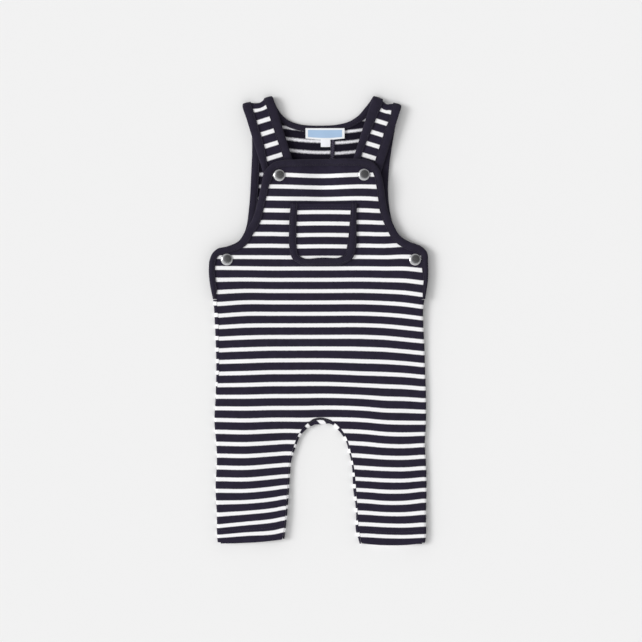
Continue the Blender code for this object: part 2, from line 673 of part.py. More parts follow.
def side_heights(side):
    """Stations along a rolled side, from the turn of the hem up to the vent."""
    low = float(hem_base(np.array([roll_at(side, SIDE_ROW)]))[0])
    return np.linspace(low, VENT_BASE - VENT_CLIP, SIDE_STATIONS)


def clip(side):
    """The two inner corners of the clip into a panel at the vent, from below."""
    sign = -1 if side == "left" else 1
    across = roll_at(side, VENT_BASE - VENT_CLIP) - sign * CLIP_DEPTH
    return np.array([(across, VENT_BASE - VENT_CLIP), (across, VENT_BASE + VENT_CLIP)])


def hem_flap(side, seam_across):
    """Outline of the cloth turned up at a hem, from its right end, and its rows."""
    sign = -1 if side == "left" else 1
    outer = roll_at(side, SIDE_ROW) - sign * HEM_INSET
    inner = seam_across + sign * HEM_INSET
    across = np.linspace(outer + sign * (HEM_INSET - SIDE_ROW), inner, HEM_STATIONS)
    across = np.concatenate([[outer], across])[::sign]
    turn = HEM_FOLD * math.pi
    steps = (0, turn / 3, turn * 2 / 3, turn, HEM_ROW)
    base = hem_base(across)
    right = [(across[0], base[0] - step) for step in steps]
    left = [(across[-1], base[-1] - step) for step in steps[::-1]]
    bottom = np.column_stack([across, base - HEM_TURN])
    rows = [np.column_stack([across, base - step])[1:-1] for step in steps]
    return np.vstack([right, bottom, left]), np.vstack(rows)


def make_front():
    """Bib, body and both front legs, cut in one."""
    points, normals = stations(BIB_LINE)
    seam, seam_normals = inseam_stations()
    left, left_rows = side_rows("left", side_heights("left"), "front")
    right, right_rows = side_rows("right", side_heights("right"), "front")
    right_flap, right_hem_rows = hem_flap("right", seam[0, 0])
    left_flap, left_hem_rows = hem_flap("left", seam[-1, 0])
    outline = np.vstack([
        left, clip("left"), moved(points, normals, RAW_EDGE), clip("right")[::-1],
        right[::-1], right_flap, seam[:, :2], left_flap,
    ])
    rows = [left_rows, right_rows, right_hem_rows, left_hem_rows]
    rows.append(ring_of(points, normals, BIB_LINE))
    rows.append(moved(seam[2:-2], seam_normals[2:-2], SEAM_ROW))
    angles = np.linspace(0, 2 * math.pi, 8, endpoint=False)
    ring = SNAP_RING * np.column_stack([np.cos(angles), np.sin(angles)])
    rows += [ring + at for at, _, _ in SNAPS.values()]
    return panel("front", outline, thin(np.vstack(rows), outline), front_place, STRIPED)


def thin(rows, outline):
    """Drops row points that lie outside the outline or crowd it or each other."""
    closed = np.vstack([outline, outline[:1]])
    keep = inside(rows[:, 0], rows[:, 1], outline)
    keep &= distance(rows[:, 0], rows[:, 1], closed) > OFF_EDGE
    rows = rows[keep]
    kept = []
    for i, row in enumerate(rows):
        if not kept or np.hypot(*(rows[kept] - row).T).min() > APART:
            kept.append(i)
    return rows[kept]


def inseam_stations():
    """Stations of the inner-leg seam, with one at the top of the arch."""
    halves = split(INSEAM_LINE, BACK_SEAM[1])
    right, right_normals = stations(halves[0])
    left, left_normals = stations(halves[1])
    return np.vstack([right, left[1:]]), np.vstack([right_normals, left_normals[1:]])


def fold_density(u, v):
    """Extra stations for each millimetre round the shoulder folds."""
    extra = np.zeros(np.shape(u))
    for side, sign in (("left", -1), ("right", 1)):
        past = past_fold(u, v, side)
        near = (past > -1) & (past < math.pi * FOLD_RADIUS + 1) & (sign * u > 0)
        extra = np.where(near, 1 / FOLD_STEP, extra)
    return extra


def along_fold(points, normals):
    """Turns the normals near a shoulder fold to run along it, so that tape folds squarely."""
    half = math.pi * FOLD_RADIUS / 2
    for side, sign in (("left", -1), ("right", 1)):
        along = fold_frame(side)[1]
        past = past_fold(points[:, 0], points[:, 1], side)
        near = ease(np.abs(past - half) - half, *FOLD_SQUARE) * (sign * points[:, 0] > 0)
        lean = np.where(near > 0, normals @ along, 1.0)
        near = near[:, None]
        normals = normals * (1 - near) + along / lean[:, None] * near
    return normals


def neck_stations():
    """Stations of the neck edge, with one at the centre back seam."""
    halves = split(NECK_LINE, BACK_SEAM[0])
    left, left_normals = stations(halves[0], fold_density)
    right, right_normals = stations(halves[1], fold_density)
    points = np.vstack([left, right[1:]])
    normals = np.vstack([left_normals, right_normals[1:]])
    return points, along_fold(points, normals), len(left)


def arm_stations(side):
    """Stations of an armhole edge, clockwise round the garment."""
    line = ARM_LINES[side] if side == "left" else ARM_LINES[side][::-1]
    points, normals = stations(line, fold_density)
    return points, along_fold(points, normals)


def fold_rows(side):
    """Rows of points across a strap at its fold."""
    outer, along, out, length = fold_frame(side)
    rows = []
    for past in np.linspace(0, math.pi * FOLD_RADIUS, FOLD_ROWS + 1):
        base = outer + out * (past - FOLD_RADIUS - BOUND)
        rows += [base + along * length * share for share in FOLD_SHARES]
    return np.array(rows)


def make_back(side):
    """One half of the back with its yoke, strap and leg."""
    neck, neck_normals, middle = neck_stations()
    arm, arm_normals = arm_stations(side)
    seam, seam_normals = inseam_stations()
    apex = int(np.argmin(np.hypot(seam[:, 0] - BACK_SEAM[1][0], seam[:, 1] - BACK_SEAM[1][1])))
    edge, edge_rows = side_rows(side, side_heights(side), "back")
    shares = np.linspace(1, 0, SEAM_STATIONS)[1:-1]
    centre = BACK_SEAM[1] + np.outer(shares, np.subtract(BACK_SEAM[0], BACK_SEAM[1]))
    arm_edge = moved(arm, arm_normals, RAW_EDGE)
    if side == "left":
        centre = centre - (GAP / 2, 0)
        neck_edge = moved(neck, neck_normals, RAW_EDGE)[:middle]
        neck_edge[-1] -= (GAP / 2, 0)
        leg = seam[apex:, :2].copy()
        leg[0] -= (GAP / 2, 0)
        flap, flap_rows = hem_flap("left", seam[-1, 0])
        outline = [edge, clip(side), arm_edge, neck_edge, centre, leg, flap]
    else:
        centre = centre[::-1] + (GAP / 2, 0)
        neck_edge = moved(neck, neck_normals, RAW_EDGE)[middle - 1:]
        neck_edge[0] += (GAP / 2, 0)
        leg = seam[:apex + 1, :2].copy()
        leg[-1] += (GAP / 2, 0)
        flap, flap_rows = hem_flap("right", seam[0, 0])
        outline = [neck_edge, arm_edge, clip(side)[::-1], edge[::-1], flap, leg, centre]
    outline = np.vstack(outline)
    rows = [edge_rows, flap_rows, fold_rows(side)]
    rows.append(moved(seam[2:-2], seam_normals[2:-2], SEAM_ROW))
    rows.append(ring_of(neck, neck_normals, NECK_LINE))
    rows.append(ring_of(arm, arm_normals, ARM_LINES[side]))
    rows = thin(np.vstack(rows), outline)
    return panel("back_" + side, outline, rows, back_place, STRIPED)


def make_strip():
    """Strip of cloth between the front and back of the inner legs, from hem to hem."""
    seam, normals = inseam_stations()
    ends = seam[[0, -1]] + (seam[[0, -1]] - seam[[1, -2]]) * (HALF + HEM_FOLD) / STEP
    seam = np.vstack([ends[:1], seam, ends[1:]])
    normals = np.vstack([normals[:1], normals, normals[-1:]])
    rings = []
    for (u, v, reach), normal in zip(seam, normals):
        high = float(front_height(np.array([u]), np.array([v]))[0])
        low = float(back_height(np.array([u]), np.array([v]))[0])
        radius = (high - low) / 2
        bulge = min(reach, radius)
        straight = GAP + STRIP_EDGE + max(reach - bulge, 0)
        path = [(GAP, radius, 0.0, 1.0)]
        for angle in np.linspace(math.pi / 2, -math.pi / 2, STRIP_STATIONS):
            lean = np.array((math.cos(angle) / bulge, math.sin(angle) / radius))
            lean /= np.linalg.norm(lean)
            out = straight + bulge * math.cos(angle)
            path.append((out, radius * math.sin(angle), *lean))
        path.append((GAP, -radius, 0.0, -1.0))
        path = np.array(path)
        outer = path[:, :2] + path[:, 2:] * HALF
        inner = path[:, :2] - path[:, 2:] * HALF
        section = np.vstack([outer, inner[::-1]])
        spots = (u, v) - np.outer(section[:, 0], normal)
        rings.append(np.column_stack([spots, (high + low) / 2 + section[:, 1]]))
    return sweep("inseam_strip", rings, STRIPED)


def make_bindings():
    """Tape round the bib and tabs, the neck, and each back armhole."""
    points, normals = stations(BIB_LINE)
    yield binding("bib_binding", points, normals, bib_widths(points), front_place)
    points, normals, _ = neck_stations()
    yield binding("neck_binding", points, normals, tape_width(points, "neck"), back_place)
    for side in ("left", "right"):
        points, normals = arm_stations(side)
        widths = tape_width(points, "arm_" + side)
        yield binding("armhole_binding_" + side, points, normals, widths, back_place)


def make_pocket():
    """The patch and the tape round its U."""
    points, normals = stations(POCKET_LINE)
    outline = moved(points, normals, RAW_EDGE)
    mouth = outline[-1] + np.outer(MOUTH_POINTS, outline[0] - outline[-1])
    outline = np.vstack([outline, mouth])
    rows = thin(ring_of(points, normals, POCKET_LINE), outline)
    yield panel("pocket", outline, rows, pocket_place, STRIPED)
    rings = []
    for (u, v), normal, width in zip(points, normals, pocket_widths(points)):
        section = np.array([
            # in from the fold, up
            (width, BOUND), (TAPE_ROUND, BOUND), (0.0, BOUND - TAPE_ROUND), (0.0, -HALF),
            (TAPE_NOSE, -HALF), (TAPE_NOSE, BOUND - TAPE), (width, BOUND - TAPE),
        ])
        spots = (u, v) + np.outer(section[:, 0], normal)
        rings.append(pocket_place(spots[:, 0], spots[:, 1], section[:, 1]))
    yield sweep("pocket_binding", rings, NAVY)


def make_labels():
    """The bare neck label and the bare size tag."""
    pieces = (("neck_label", LABEL_SIZE, LABEL_AT, LABEL_BLUE),
              ("size_tag", TAG_SIZE, TAG_AT, WHITE))
    for name, size, at, colour in pieces:
        across = np.linspace(-size[0] / 2, size[0] / 2, max(3, round(size[0] / 6) + 1))
        up = np.linspace(-size[1] / 2, size[1] / 2, 5)
        rim = [(x, up[-1]) for x in across] + [(across[-1], y) for y in up[-2:0:-1]]
        rim += [(x, up[0]) for x in across[::-1]] + [(across[0], y) for y in up[1:-1]]
        rows = [(x, y) for x in across[1:-1] for y in up[1:-1]]
        yield panel(name, np.array(rim) + at, np.array(rows) + at, label_place, colour,
                    spacing=None, wall=LABEL)


def make_snaps():
    """Cap, socket and stud of each snap."""
    for name, (at, under, over) in SNAPS.items():
        yield turned("snap_cap_" + name, CAP_PROFILE, at, over + HALF + GAP, METAL, 0.3, 1.0)
        floor = under + HALF + GAP
        room = over - HALF - GAP - floor
        stud = (room - GAP) * STUD_SHARE
        plate = stud * STUD_PLATE
        profile = ((0.0, stud), (STUD_NECK, stud), (STUD_NECK, plate), (STUD_RADIUS, plate),
                   (STUD_RADIUS, 0.0), (0.0, 0.0))
        yield turned("snap_stud_" + name, profile, at, floor, METAL, 0.35, 1.0)
        socket = room - GAP - stud
        profile = ((0.0, socket), (SOCKET_RADIUS, socket), (SOCKET_RADIUS, 0.0), (0.0, 0.0))
        yield turned("snap_socket_" + name, profile, at, floor + stud + GAP, METAL, 0.35, 1.0)


def main():
    for old in list(bpy.data.objects):
        bpy.data.objects.remove(old, do_unlink=True)
    garment = bpy.data.collections.new("dungarees")
    bpy.context.scene.collection.children.link(garment)
    root = bpy.data.objects.new("dungarees_root", None)
    garment.objects.link(root)
    parts = [make_front(), make_back("left"), make_back("right"), make_strip()]
    for group in (make_bindings(), make_pocket(), make_labels(), make_snaps()):
        parts += list(group)
    for part in parts:
        part.parent = root
        garment.objects.link(part)


main()
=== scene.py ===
"""Striped baby dungarees, laid flat on their back with every snap closed: the finished look.

The panels are cut and laid as in the construction, with closer stations. They get their
striped jersey, soft bindings, stitches, labels and snaps here.

Flat coordinates are in millimetres, (across, along, height), and become metres where a mesh
is made. A place function lays each panel, and whatever is sewn to it goes through the same
function.
"""
import math

import bmesh
import bpy
import numpy as np
from mathutils import Matrix, Vector
from mathutils.geometry import delaunay_2d_cdt
from mathutils.kdtree import KDTree


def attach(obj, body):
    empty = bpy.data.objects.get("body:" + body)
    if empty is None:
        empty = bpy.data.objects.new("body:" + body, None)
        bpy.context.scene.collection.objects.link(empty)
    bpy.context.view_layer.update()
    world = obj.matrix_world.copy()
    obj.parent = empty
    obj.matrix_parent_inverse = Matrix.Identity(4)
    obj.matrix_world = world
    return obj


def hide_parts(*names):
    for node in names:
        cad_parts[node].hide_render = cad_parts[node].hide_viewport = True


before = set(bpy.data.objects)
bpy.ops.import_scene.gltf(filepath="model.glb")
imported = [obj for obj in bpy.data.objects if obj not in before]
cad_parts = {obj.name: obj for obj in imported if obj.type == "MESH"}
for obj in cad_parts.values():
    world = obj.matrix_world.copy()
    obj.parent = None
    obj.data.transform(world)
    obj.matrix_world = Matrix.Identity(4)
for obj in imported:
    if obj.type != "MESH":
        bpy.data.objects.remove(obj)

bl_info = {
    "name": "Striped dungarees",
    "version": (1, 0, 0),
    "blender": (4, 5, 0),
    "location": "View3D > Sidebar > Dungarees",
    "description": "Baby dungarees in striped jersey, laid flat",
    "category": "Object",
}

MM = 0.001
SIGNS = {"left": -1, "right": 1}    # side of the garment as seen from above
ORIGIN = (0.05, 236.03, 0.0)    # middle of the floor that the garment covers

# ---- cloth and seams
CLOTH = 1.2                     # wall of the striped jersey
TAPE = 1.0                      # wall of the navy binding tape
LABEL = 1.0                     # wall of the label and of the size tag
GAP = 0.3                       # between pieces that are sewn together
HALF = CLOTH / 2
BOUND = HALF + GAP + TAPE       # from the middle of a bound panel to the outside of its tape
TAPE_NOSE = 1.2                 # tape in front of the panel's raw edge
RAW_EDGE = TAPE_NOSE + GAP      # from the outer edge of the tape to the panel's raw edge

# ---- heights above the floor
BACK_FLAT = HALF                # middle of the back panels
BACK_BOUND = BOUND              # the same, where tape goes round the edge
FRONT_SIDE = 4.0                # middle of the front panel beside the sides and the inner legs
FRONT_REST = 4.5                # the same where the cloth puffs up between them
FRONT_BOUND = BACK_BOUND + 2 * BOUND + 0.4
FRONT_CORNER = 10.3             # bib corner, over the strap that ends under it
FRONT_HEM = 5.5                 # over the four layers of a leg hem
FRONT_WAVE = 0.6                # slack in the front panel
WAVE_LENGTHS = (23.0, 41.0, 29.0, 57.0)
STRAP_HIGH = 6.6                # strap where it has just been folded over
STRAP_LOW = 4.75                # strap end, under the bib
SNAP_BIB = 9.3                  # front panel round a bib snap
SNAP_WAIST = FRONT_BOUND        # front panel round a waist snap
BIB_SAG = {"at": (4.0, 405.0), "size": (30.0, 60.0), "share": 0.62}   # between the straps
POCKET_PUFF = 0.9
LABEL_STEP = 1.4                # rise of the label where it lies over the neck tape
LABEL_RISE = (-5.0, 1.4)        # where it rises, from the label's middle

# Distances over which one height changes into another.
BACK_RISE = (10.0, 26.0)        # from a bound edge of the back
FRONT_RISE = (10.0, 60.0)       # from the bound edge of the front
SIDE_RISE = (6.0, 36.0)         # from the sides and the inner-leg seam
HEM_RISE = (17.0, 70.0)         # from a hem
POCKET_RISE = (9.0, 24.0)       # from the edge of the pocket
SNAP_PAD = (7.0, 26.0)          # from the middle of a snap, on the front
WAIST_PAD = (18.0, 30.0)        # the same on the back
CORNER_PAD = (17.0, 56.0)       # from the middle of a bib corner
CORNER_PAST = 6.0               # that middle lies so far above the snap

# ---- outlines
VENT_BASE = 257.6               # top of the side seams, where the waist tabs begin
VENT_CLIP = 0.2                 # half the width of the clip into each panel there
CLIP_DEPTH = 1.6                # how far the clip reaches past the rolled side
TAPE_START = VENT_BASE + 0.6

# Outer edge of the bib and the waist tabs, from the left vent round to the right one.
BIB_EDGE = (
    # across, along
    (-110.8, TAPE_START), (-114.2, 276.0), (-115.1, 291.0), (-114.0, 300.4), (-111.0, 306.8),
    (-106.5, 310.8), (-95.1, 313.8), (-84.0, 319.0), (-76.6, 330.0), (-69.7, 341.5),
    (-65.3, 355.0), (-61.6, 370.5), (-58.9, 383.0), (-57.4, 390.3), (-53.4, 396.0),
    (-47.6, 400.9), (-39.0, 403.4), (-20.0, 404.5), (4.0, 405.0), (38.0, 405.1),
    (50.5, 404.1), (57.2, 401.6), (62.0, 396.6), (65.4, 389.6), (67.5, 381.0), (69.1, 372.0),
    (70.5, 361.5), (73.6, 348.4), (78.8, 336.2), (85.5, 324.9), (95.8, 318.2),
    (106.7, 314.3), (113.6, 308.0), (115.1, 295.0), (114.9, 278.0), (112.0, TAPE_START),
)
# Outer edge of each back panel, from its vent up to the shoulder fold.
BACK_EDGES = {
    "left": (
        # across, along
        (-110.3, TAPE_START), (-113.6, 276.0), (-114.5, 290.5), (-112.3, 301.5),
        (-105.6, 309.3), (-95.0, 312.9), (-82.9, 319.0), (-76.0, 334.0), (-73.2, 353.0),
        (-70.8, 390.0), (-69.9, 424.0), (-71.0, 439.5), (-75.7, 453.5), (-80.5, 463.2),
    ),
    "right": (
        # across, along
        (111.4, TAPE_START), (114.2, 278.0), (114.4, 295.0), (112.5, 306.8), (106.3, 313.8),
        (96.6, 317.5), (85.4, 324.2), (78.7, 336.0), (75.2, 350.0), (73.5, 364.0),
        (73.7, 390.0), (76.7, 415.0), (79.4, 431.0), (82.8, 448.0), (87.7, 461.9),
    ),
}
# Back neck, from the left shoulder fold to the right one.
NECK_EDGE = (
    # across, along
    (-48.0, 471.7), (-44.1, 461.0), (-38.4, 451.9), (-30.5, 445.5), (-20.0, 442.0),
    (-8.0, 440.7), (4.0, 440.6), (20.0, 441.7), (31.7, 444.7), (41.4, 450.7),
    (49.6, 460.2), (57.2, 471.9),
)
# Seam of the inner legs and the crotch, from the right hem to the left one. The last column
# is how far the inseam strip shows beyond it.
INSEAM = (
    # across, along, reach
    (44.8, 3.0, 0.9), (43.8, 10.0, 1.9), (42.2, 18.0, 2.2), (41.6, 28.0, 1.0),
    (40.8, 42.0, 0.9), (40.0, 54.0, 1.9), (39.3, 64.0, 2.2), (38.4, 73.0, 1.6),
    (37.0, 84.0, 0.9), (34.3, 96.5, 0.9), (30.2, 111.0, 1.1), (22.7, 123.1, 2.2),
    (13.2, 130.8, 2.8), (8.0, 132.8, 4.8), (0.5, 133.6, 6.0), (-5.0, 132.3, 5.2),
    (-10.4, 128.9, 4.0), (-16.6, 122.7, 2.5), (-22.2, 114.0, 1.6), (-26.8, 101.0, 1.2),
    (-30.2, 90.0, 0.9), (-31.8, 74.0, 0.9), (-33.1, 54.6, 0.9), (-34.8, 32.0, 0.9),
    (-36.3, 18.0, 0.9), (-37.5, 8.1, 0.9),
)
# Outermost points of the rolled sides.
SIDES = (
    # along, left, right
    (-20.0, -105.0, 111.0), (1.0, -105.8, 111.8), (8.0, -106.5, 112.9), (30.0, -106.8, 113.0),
    (62.0, -108.2, 113.6), (89.0, -106.8, 112.9), (105.0, -107.3, 111.8),
    (127.0, -109.3, 113.0), (160.0, -107.9, 113.0), (185.0, -107.4, 112.0),
    (207.0, -107.8, 111.4), (233.0, -108.9, 110.2), (250.0, -109.8, 110.2),
    (262.0, -111.2, 112.2),
)
# How far round a side the back panel comes: 0 is the floor side, 1 the top.
WRAP = (
    # along, left, right
    (-20.0, 0.55, 0.38), (150.0, 0.55, 0.38), (182.0, 1.12, 0.38), (262.0, 1.12, 0.38),
)
# Hem of each leg: its lowest point, how far it has risen a given way from there, how far it
# rises more at its inner corner, and between which ends its stitches run.
HEMS = {
    "left": {"lowest": (-104.0, 1.65), "rise": 3.4, "over": 60.0, "corner": (-37.5, 1.0),
             "sewn": (-104.0, -40.0)},
    "right": {"lowest": (77.0, -0.35), "rise": 1.5, "over": 27.0, "corner": (44.8, 0.9),
              "sewn": (47.0, 109.0)},
}
HEM_CORNER = 8.0                # way over which the corner rises
HEM_CURVE = 2.3                 # power by which it rises
HEM_TURN = 16.0                 # cloth turned up inside
HEM_FOLD = HALF + GAP / 2       # radius of the turn, to the middle of the cloth
HEM_INSET = 0.6                 # the turned cloth stops this far from the seams
HEM_STITCH = 14.0               # line of stitches above the turn

# Shoulder folds as laid, from the outer edge of a strap to its inner edge, and the way that
# the flat strap runs past the fold. The strap sinks to its end between the heights of sink.
# Between its tapes a fold dips: the rows give shares of the way along it, and how far.
FOLDS = {
    "left": {"outer": (-80.5, 463.2), "inner": (-48.0, 471.8), "axis": (-0.2155, 0.9765),
             "sink": (396.0, 410.0),
             "dips": ((0.31, 0.0), (0.38, 1.5), (0.5, 2.1), (0.6, 2.3), (0.69, 0.0))},
    "right": {"outer": (87.7, 461.9), "inner": (57.2, 472.0), "axis": (0.3312, 0.9436),
              "sink": (395.0, 408.0),
              "dips": ((0.325, 0.0), (0.41, 2.3), (0.5, 2.5), (0.6, 1.5), (0.675, 0.0))},
}
STRAP_RUN = 98.0                # strap past the fold
STRAP_POINTS = (0.15, 0.5, 1.0)     # points of its straight edges, as shares of that
STRAP_ACROSS = 30.0             # the straps lie further from the middle than this
FOLD_RADIUS = (STRAP_HIGH - BACK_BOUND) / 2
FOLD_CORNER = 1.8               # radius of a fold's rounded corners
FOLD_ROUND = 0.8                # share of a full round that they have
DIP_REACH = (3.0, 16.0)         # both fade between these distances from the fold
SHOULDER = (432.0, 452.0)       # yoke below, strap above

BACK_SEAM = ((13.6, 441.5), (0.5, 133.6))   # centre back seam, top and bottom
ALLOWANCE_RUN = (6.5, 58.0)     # where its allowance shows, down from its top
ALLOWANCE_WIDTH = 4.4
ALLOWANCE_WALL = 0.7
ALLOWANCE_EDGE = 0.3            # from the seam to the allowance
ALLOWANCE_UP = 0.12             # from the yoke to the allowance
ALLOWANCE_PITCH = 0.9           # from one stitch of its overlock to the next
ALLOWANCE_SEWN = (0.6, ALLOWANCE_WIDTH + 0.35)  # across, where those turn
ALLOWANCE_THREAD = 0.00035      # thickness of their thread, in metres

# ---- tapes
# Width of each tape as it shows, by the place along the flat panel that it is sewn to.
TAPE_WIDTHS = {
    "bib_left": (
        # along, width
        (TAPE_START, 2.6), (267.0, 6.6), (298.0, 6.7), (314.0, 7.2), (321.0, 8.8), (345.0, 8.8),
        (362.0, 8.1), (379.0, 8.3), (386.5, 10.4), (391.0, 10.2), (394.5, 8.9), (398.5, 7.4),
        (404.0, 7.3),
    ),
    "bib_right": (
        (TAPE_START, 2.6), (266.0, 4.3), (279.0, 4.6), (288.0, 6.6), (298.0, 6.7),
        (316.0, 8.5), (345.0, 8.4), (362.0, 7.8), (388.0, 7.6), (404.0, 7.3),
    ),
    "arm_left": (
        (TAPE_START, 2.6), (267.0, 6.5), (318.0, 6.5), (340.0, 8.5), (448.0, 8.5), (466.0, 9.6),
        (513.0, 9.6), (527.0, 7.4),
    ),
    "arm_right": (
        # painted shade: between 374 and 410 the right armhole tape widens to 10.4 to cover the
        # back's white stripe where that gap lies in deep shadow
        (TAPE_START, 2.6), (267.0, 6.5), (318.0, 6.5), (340.0, 8.5), (374.0, 8.5), (384.0, 10.4),
        (396.0, 10.4), (410.0, 8.5), (448.0, 8.5), (466.0, 9.6),
        (473.0, 8.4), (481.0, 8.4), (488.0, 9.6),
    ),
    "neck_left": ((448.0, 6.5), (466.0, 9.6), (513.0, 9.6), (527.0, 8.8), (536.0, 8.8),
                  (546.0, 8.2)),
    "neck_right": ((448.0, 6.5), (466.0, 9.6), (474.0, 11.8), (480.0, 11.8), (490.0, 10.6),
                   (502.0, 9.6), (515.0, 8.4), (527.0, 7.5)),
}
# The same for the pocket's tape, by the share of the way round the U.
POCKET_WIDTHS = (
    # share, width
    (0.0, 6.4), (0.055, 6.6), (0.12, 8.1), (0.19, 9.7), (0.26, 9.3), (0.33, 8.3),
    (0.46, 7.4), (0.64, 6.9), (0.72, 7.4), (0.86, 8.1), (1.0, 7.4),
)
TAPE_NARROW = 3.4               # narrower tape is left plain
TAPE_SEW = 1.3                  # line of stitches inside a tape's edge
TAPE_CROWN = 0.28               # how far a tape puffs up along its middle
TAPE_WANDER = 0.16              # how far its edge wanders
TAPE_FOLDED = 7.0               # way past a shoulder fold over which it puffs up less
TAPE_DENT = 0.3                 # how far the stitches pull it down
TAPE_SEWN = BOUND - TAPE_DENT + 0.05    # height of those from the middle of the panel

# ---- pocket, label and snaps
# Outer edge of the pocket's tape, from the right end of its mouth to the left one.
POCKET_EDGE = (
    # across, along
    (40.5, 358.2), (39.9, 344.0), (40.0, 330.0), (39.3, 311.5), (35.4, 300.6),
    (26.0, 295.0), (4.0, 294.4), (-19.0, 295.0), (-27.4, 300.8), (-30.6, 313.0),
    (-31.0, 330.0), (-30.4, 344.0), (-29.0, 358.4),
)
POCKET_LIFT = CLOTH + GAP + 0.15   # middle of the patch above the middle of the bib
POCKET_HEM = 3.9                # line of stitches under its mouth
POCKET_SEWN = (0.12, 0.88)      # where they run, in shares of the mouth
POCKET_SEW = 1.6                # line of stitches inside the outer edge of its tape

LABEL_SIZE = (41.0, 10.6)
LABEL_AT = (6.9, 432.3)
LABEL_BORDER = (2.6, 1.7)       # white border of the label's field
LABEL_WALL = LABEL * 0.7
LABEL_SEW = (1.0, 0.8)          # stitches inside the label's ends, and inside its long edges
LABEL_RIPPLE = 0.22             # how far the lower edge of a label ripples
LABEL_RIPPLE_RUN = 3.4          # a radian of that ripple
LABEL_LIFT = 0.2                # how far it stands off
LABEL_BOW = 1.5                 # how far the middle of the label's lower edge hangs
TAG_SIZE = (10.0, 8.6)
TAG_AT = (7.4, 422.3)

SNAPS = {
    # where it is, middle of the cloth under it, middle of the cloth over it
    "bib_left": ((-41.1, 387.9), STRAP_LOW, SNAP_BIB),
    "bib_right": ((47.7, 388.6), STRAP_LOW, SNAP_BIB),
    "waist_left": ((-96.2, 299.8), BACK_BOUND, SNAP_WAIST),
    "waist_right": ((101.4, 299.7), BACK_BOUND, SNAP_WAIST),
}
CAP_PROFILE = (
    # radius, height
    (0.0, 1.75), (1.0, 1.745), (2.0, 1.72), (3.0, 1.66), (3.8, 1.57), (4.4, 1.46), (4.9, 1.31),
    (5.3, 1.14), (5.65, 0.95), (5.95, 0.74), (6.15, 0.56), (6.28, 0.4), (6.33, 0.26),
    (6.25, 0.1), (5.9, 0.0), (0.0, 0.0),
)
CAP_TILT = {"bib_left": 2.0, "bib_right": -1.5, "waist_left": 1.0, "waist_right": -2.0}
CAP_TILTED = 0.3                # share of that tilt that the caps get

# ---- stripes
REPEAT = 12.155                 # from one white stripe to the next on the front
FRONT_FIRST = 387.47            # first white stripe of the front, under the bib's top tape
DROOP_ACROSS = (-104.0, -77.0, -46.0, -34.0, -16.0, 6.0, 49.0, 70.0, 91.0, 109.0)
# How far the stripes of the front hang below their straight lines, at those places across.
DROOP = (
    # along, then droop
    (400.0, (-1.2, -1.2, -1.2, -1.1, -0.9, -0.8, -1.2, -1.2, -1.2, -1.2)),
    (388.0, (-0.9, -0.9, -1.1, -0.9, -0.05, 0.25, -1.1, -0.8, -0.9, -0.9)),
    (363.0, (0.0, -0.6, -0.5, -0.3, -0.3, -0.1, -0.5, 0.5, 0.0, 0.0)),
    (315.0, (1.0, 0.5, 0.4, 0.6, 0.2, 0.0, 0.2, 0.5, -0.6, 0.0)),
    (291.0, (-0.7, -0.4, 0.0, 0.0, -0.1, -0.1, -0.3, 0.0, 0.1, 1.7)),
    (254.0, (0.7, -1.1, -1.0, -1.0, -0.95, -1.0, -1.0, -0.2, 1.3, 3.7)),
    (218.0, (0.6, -0.6, -1.2, -1.2, -1.25, -1.3, -1.2, -0.3, 1.6, 3.4)),
    (181.0, (0.9, 0.2, -0.7, -0.7, -0.85, -0.8, 0.7, 1.3, 2.4, 4.1)),
    (145.0, (0.8, 1.0, 0.4, 0.4, 0.35, 0.0, 1.2, 2.9, 3.4, 4.4)),
    (126.0, (0.9, 1.4, 0.45, 0.4, 0.7, 0.1, 1.25, 3.1, 3.75, 3.7)),
    (108.0, (1.5, 1.9, 0.4, -0.3, 0.2, 0.2, 1.6, 3.5, 4.0, 3.1)),
    (90.0, (1.9, 2.25, 0.25, -0.6, 0.3, 0.3, 2.45, 3.85, 4.1, 3.0)),
    (72.0, (2.3, 2.6, 0.1, -1.0, 0.4, 0.4, 2.5, 3.6, 3.8, 2.3)),
    (48.0, (2.3, 1.9, -1.3, -3.4, 0.4, 0.4, 1.1, 2.8, 2.6, 0.6)),
    (23.0, (3.0, 0.2, -3.3, -5.6, 0.4, 0.4, 0.8, 2.0, 2.3, 1.2)),
    (11.0, (1.7, -0.9, -2.9, -5.0, 0.4, 0.4, 0.3, 1.6, 2.0, 1.1)),
    (-2.0, (-1.3, -2.4, -3.6, -4.5, 0.0, 0.0, -0.8, 0.3, 0.4, -0.3)),
)
# White stripes of the back, by number from the neck down.
BACK_STRIPES = (
    # number, along
    (-4.0, 480.0), (0.0, 433.6), (4.0, 387.0), (16.0, 241.5), (37.0, -12.6),
)
# They rise towards the straps, and more so from one place along to the other.
BACK_BOW = {"middle": 5.0, "over": 40.0, "rise": 3.2, "grows": (330.0, 420.0)}
# How much higher they lie in each half of the yoke: at a place along, and for each millimetre
# more. The halves part at a place across.
BACK_LIFT = {"left": (2.1, 0.0), "right": (1.0, -0.065)}
BACK_LIFT_AT = 409.0
BACK_LIFT_GROWS = (392.0, 406.0)
BACK_HALVES = 12.6
# White stripes of the straps, by number along each strap past its fold.
STRAP_STRIPES = {
    "left": ((-8.0, -95.0), (-1.0, -2.0), (0.0, 8.7), (8.0, 114.4)),
    "right": ((-8.0, -77.0), (-1.0, -1.6), (0.0, 10.2), (8.0, 112.2)),
}
STRAP_NUMBER = -2.0             # the strap's stripe 0 takes this number of the back's
STRAP_BLEND = (-22.0, -4.0)     # where the strap's stripes take over, past the fold
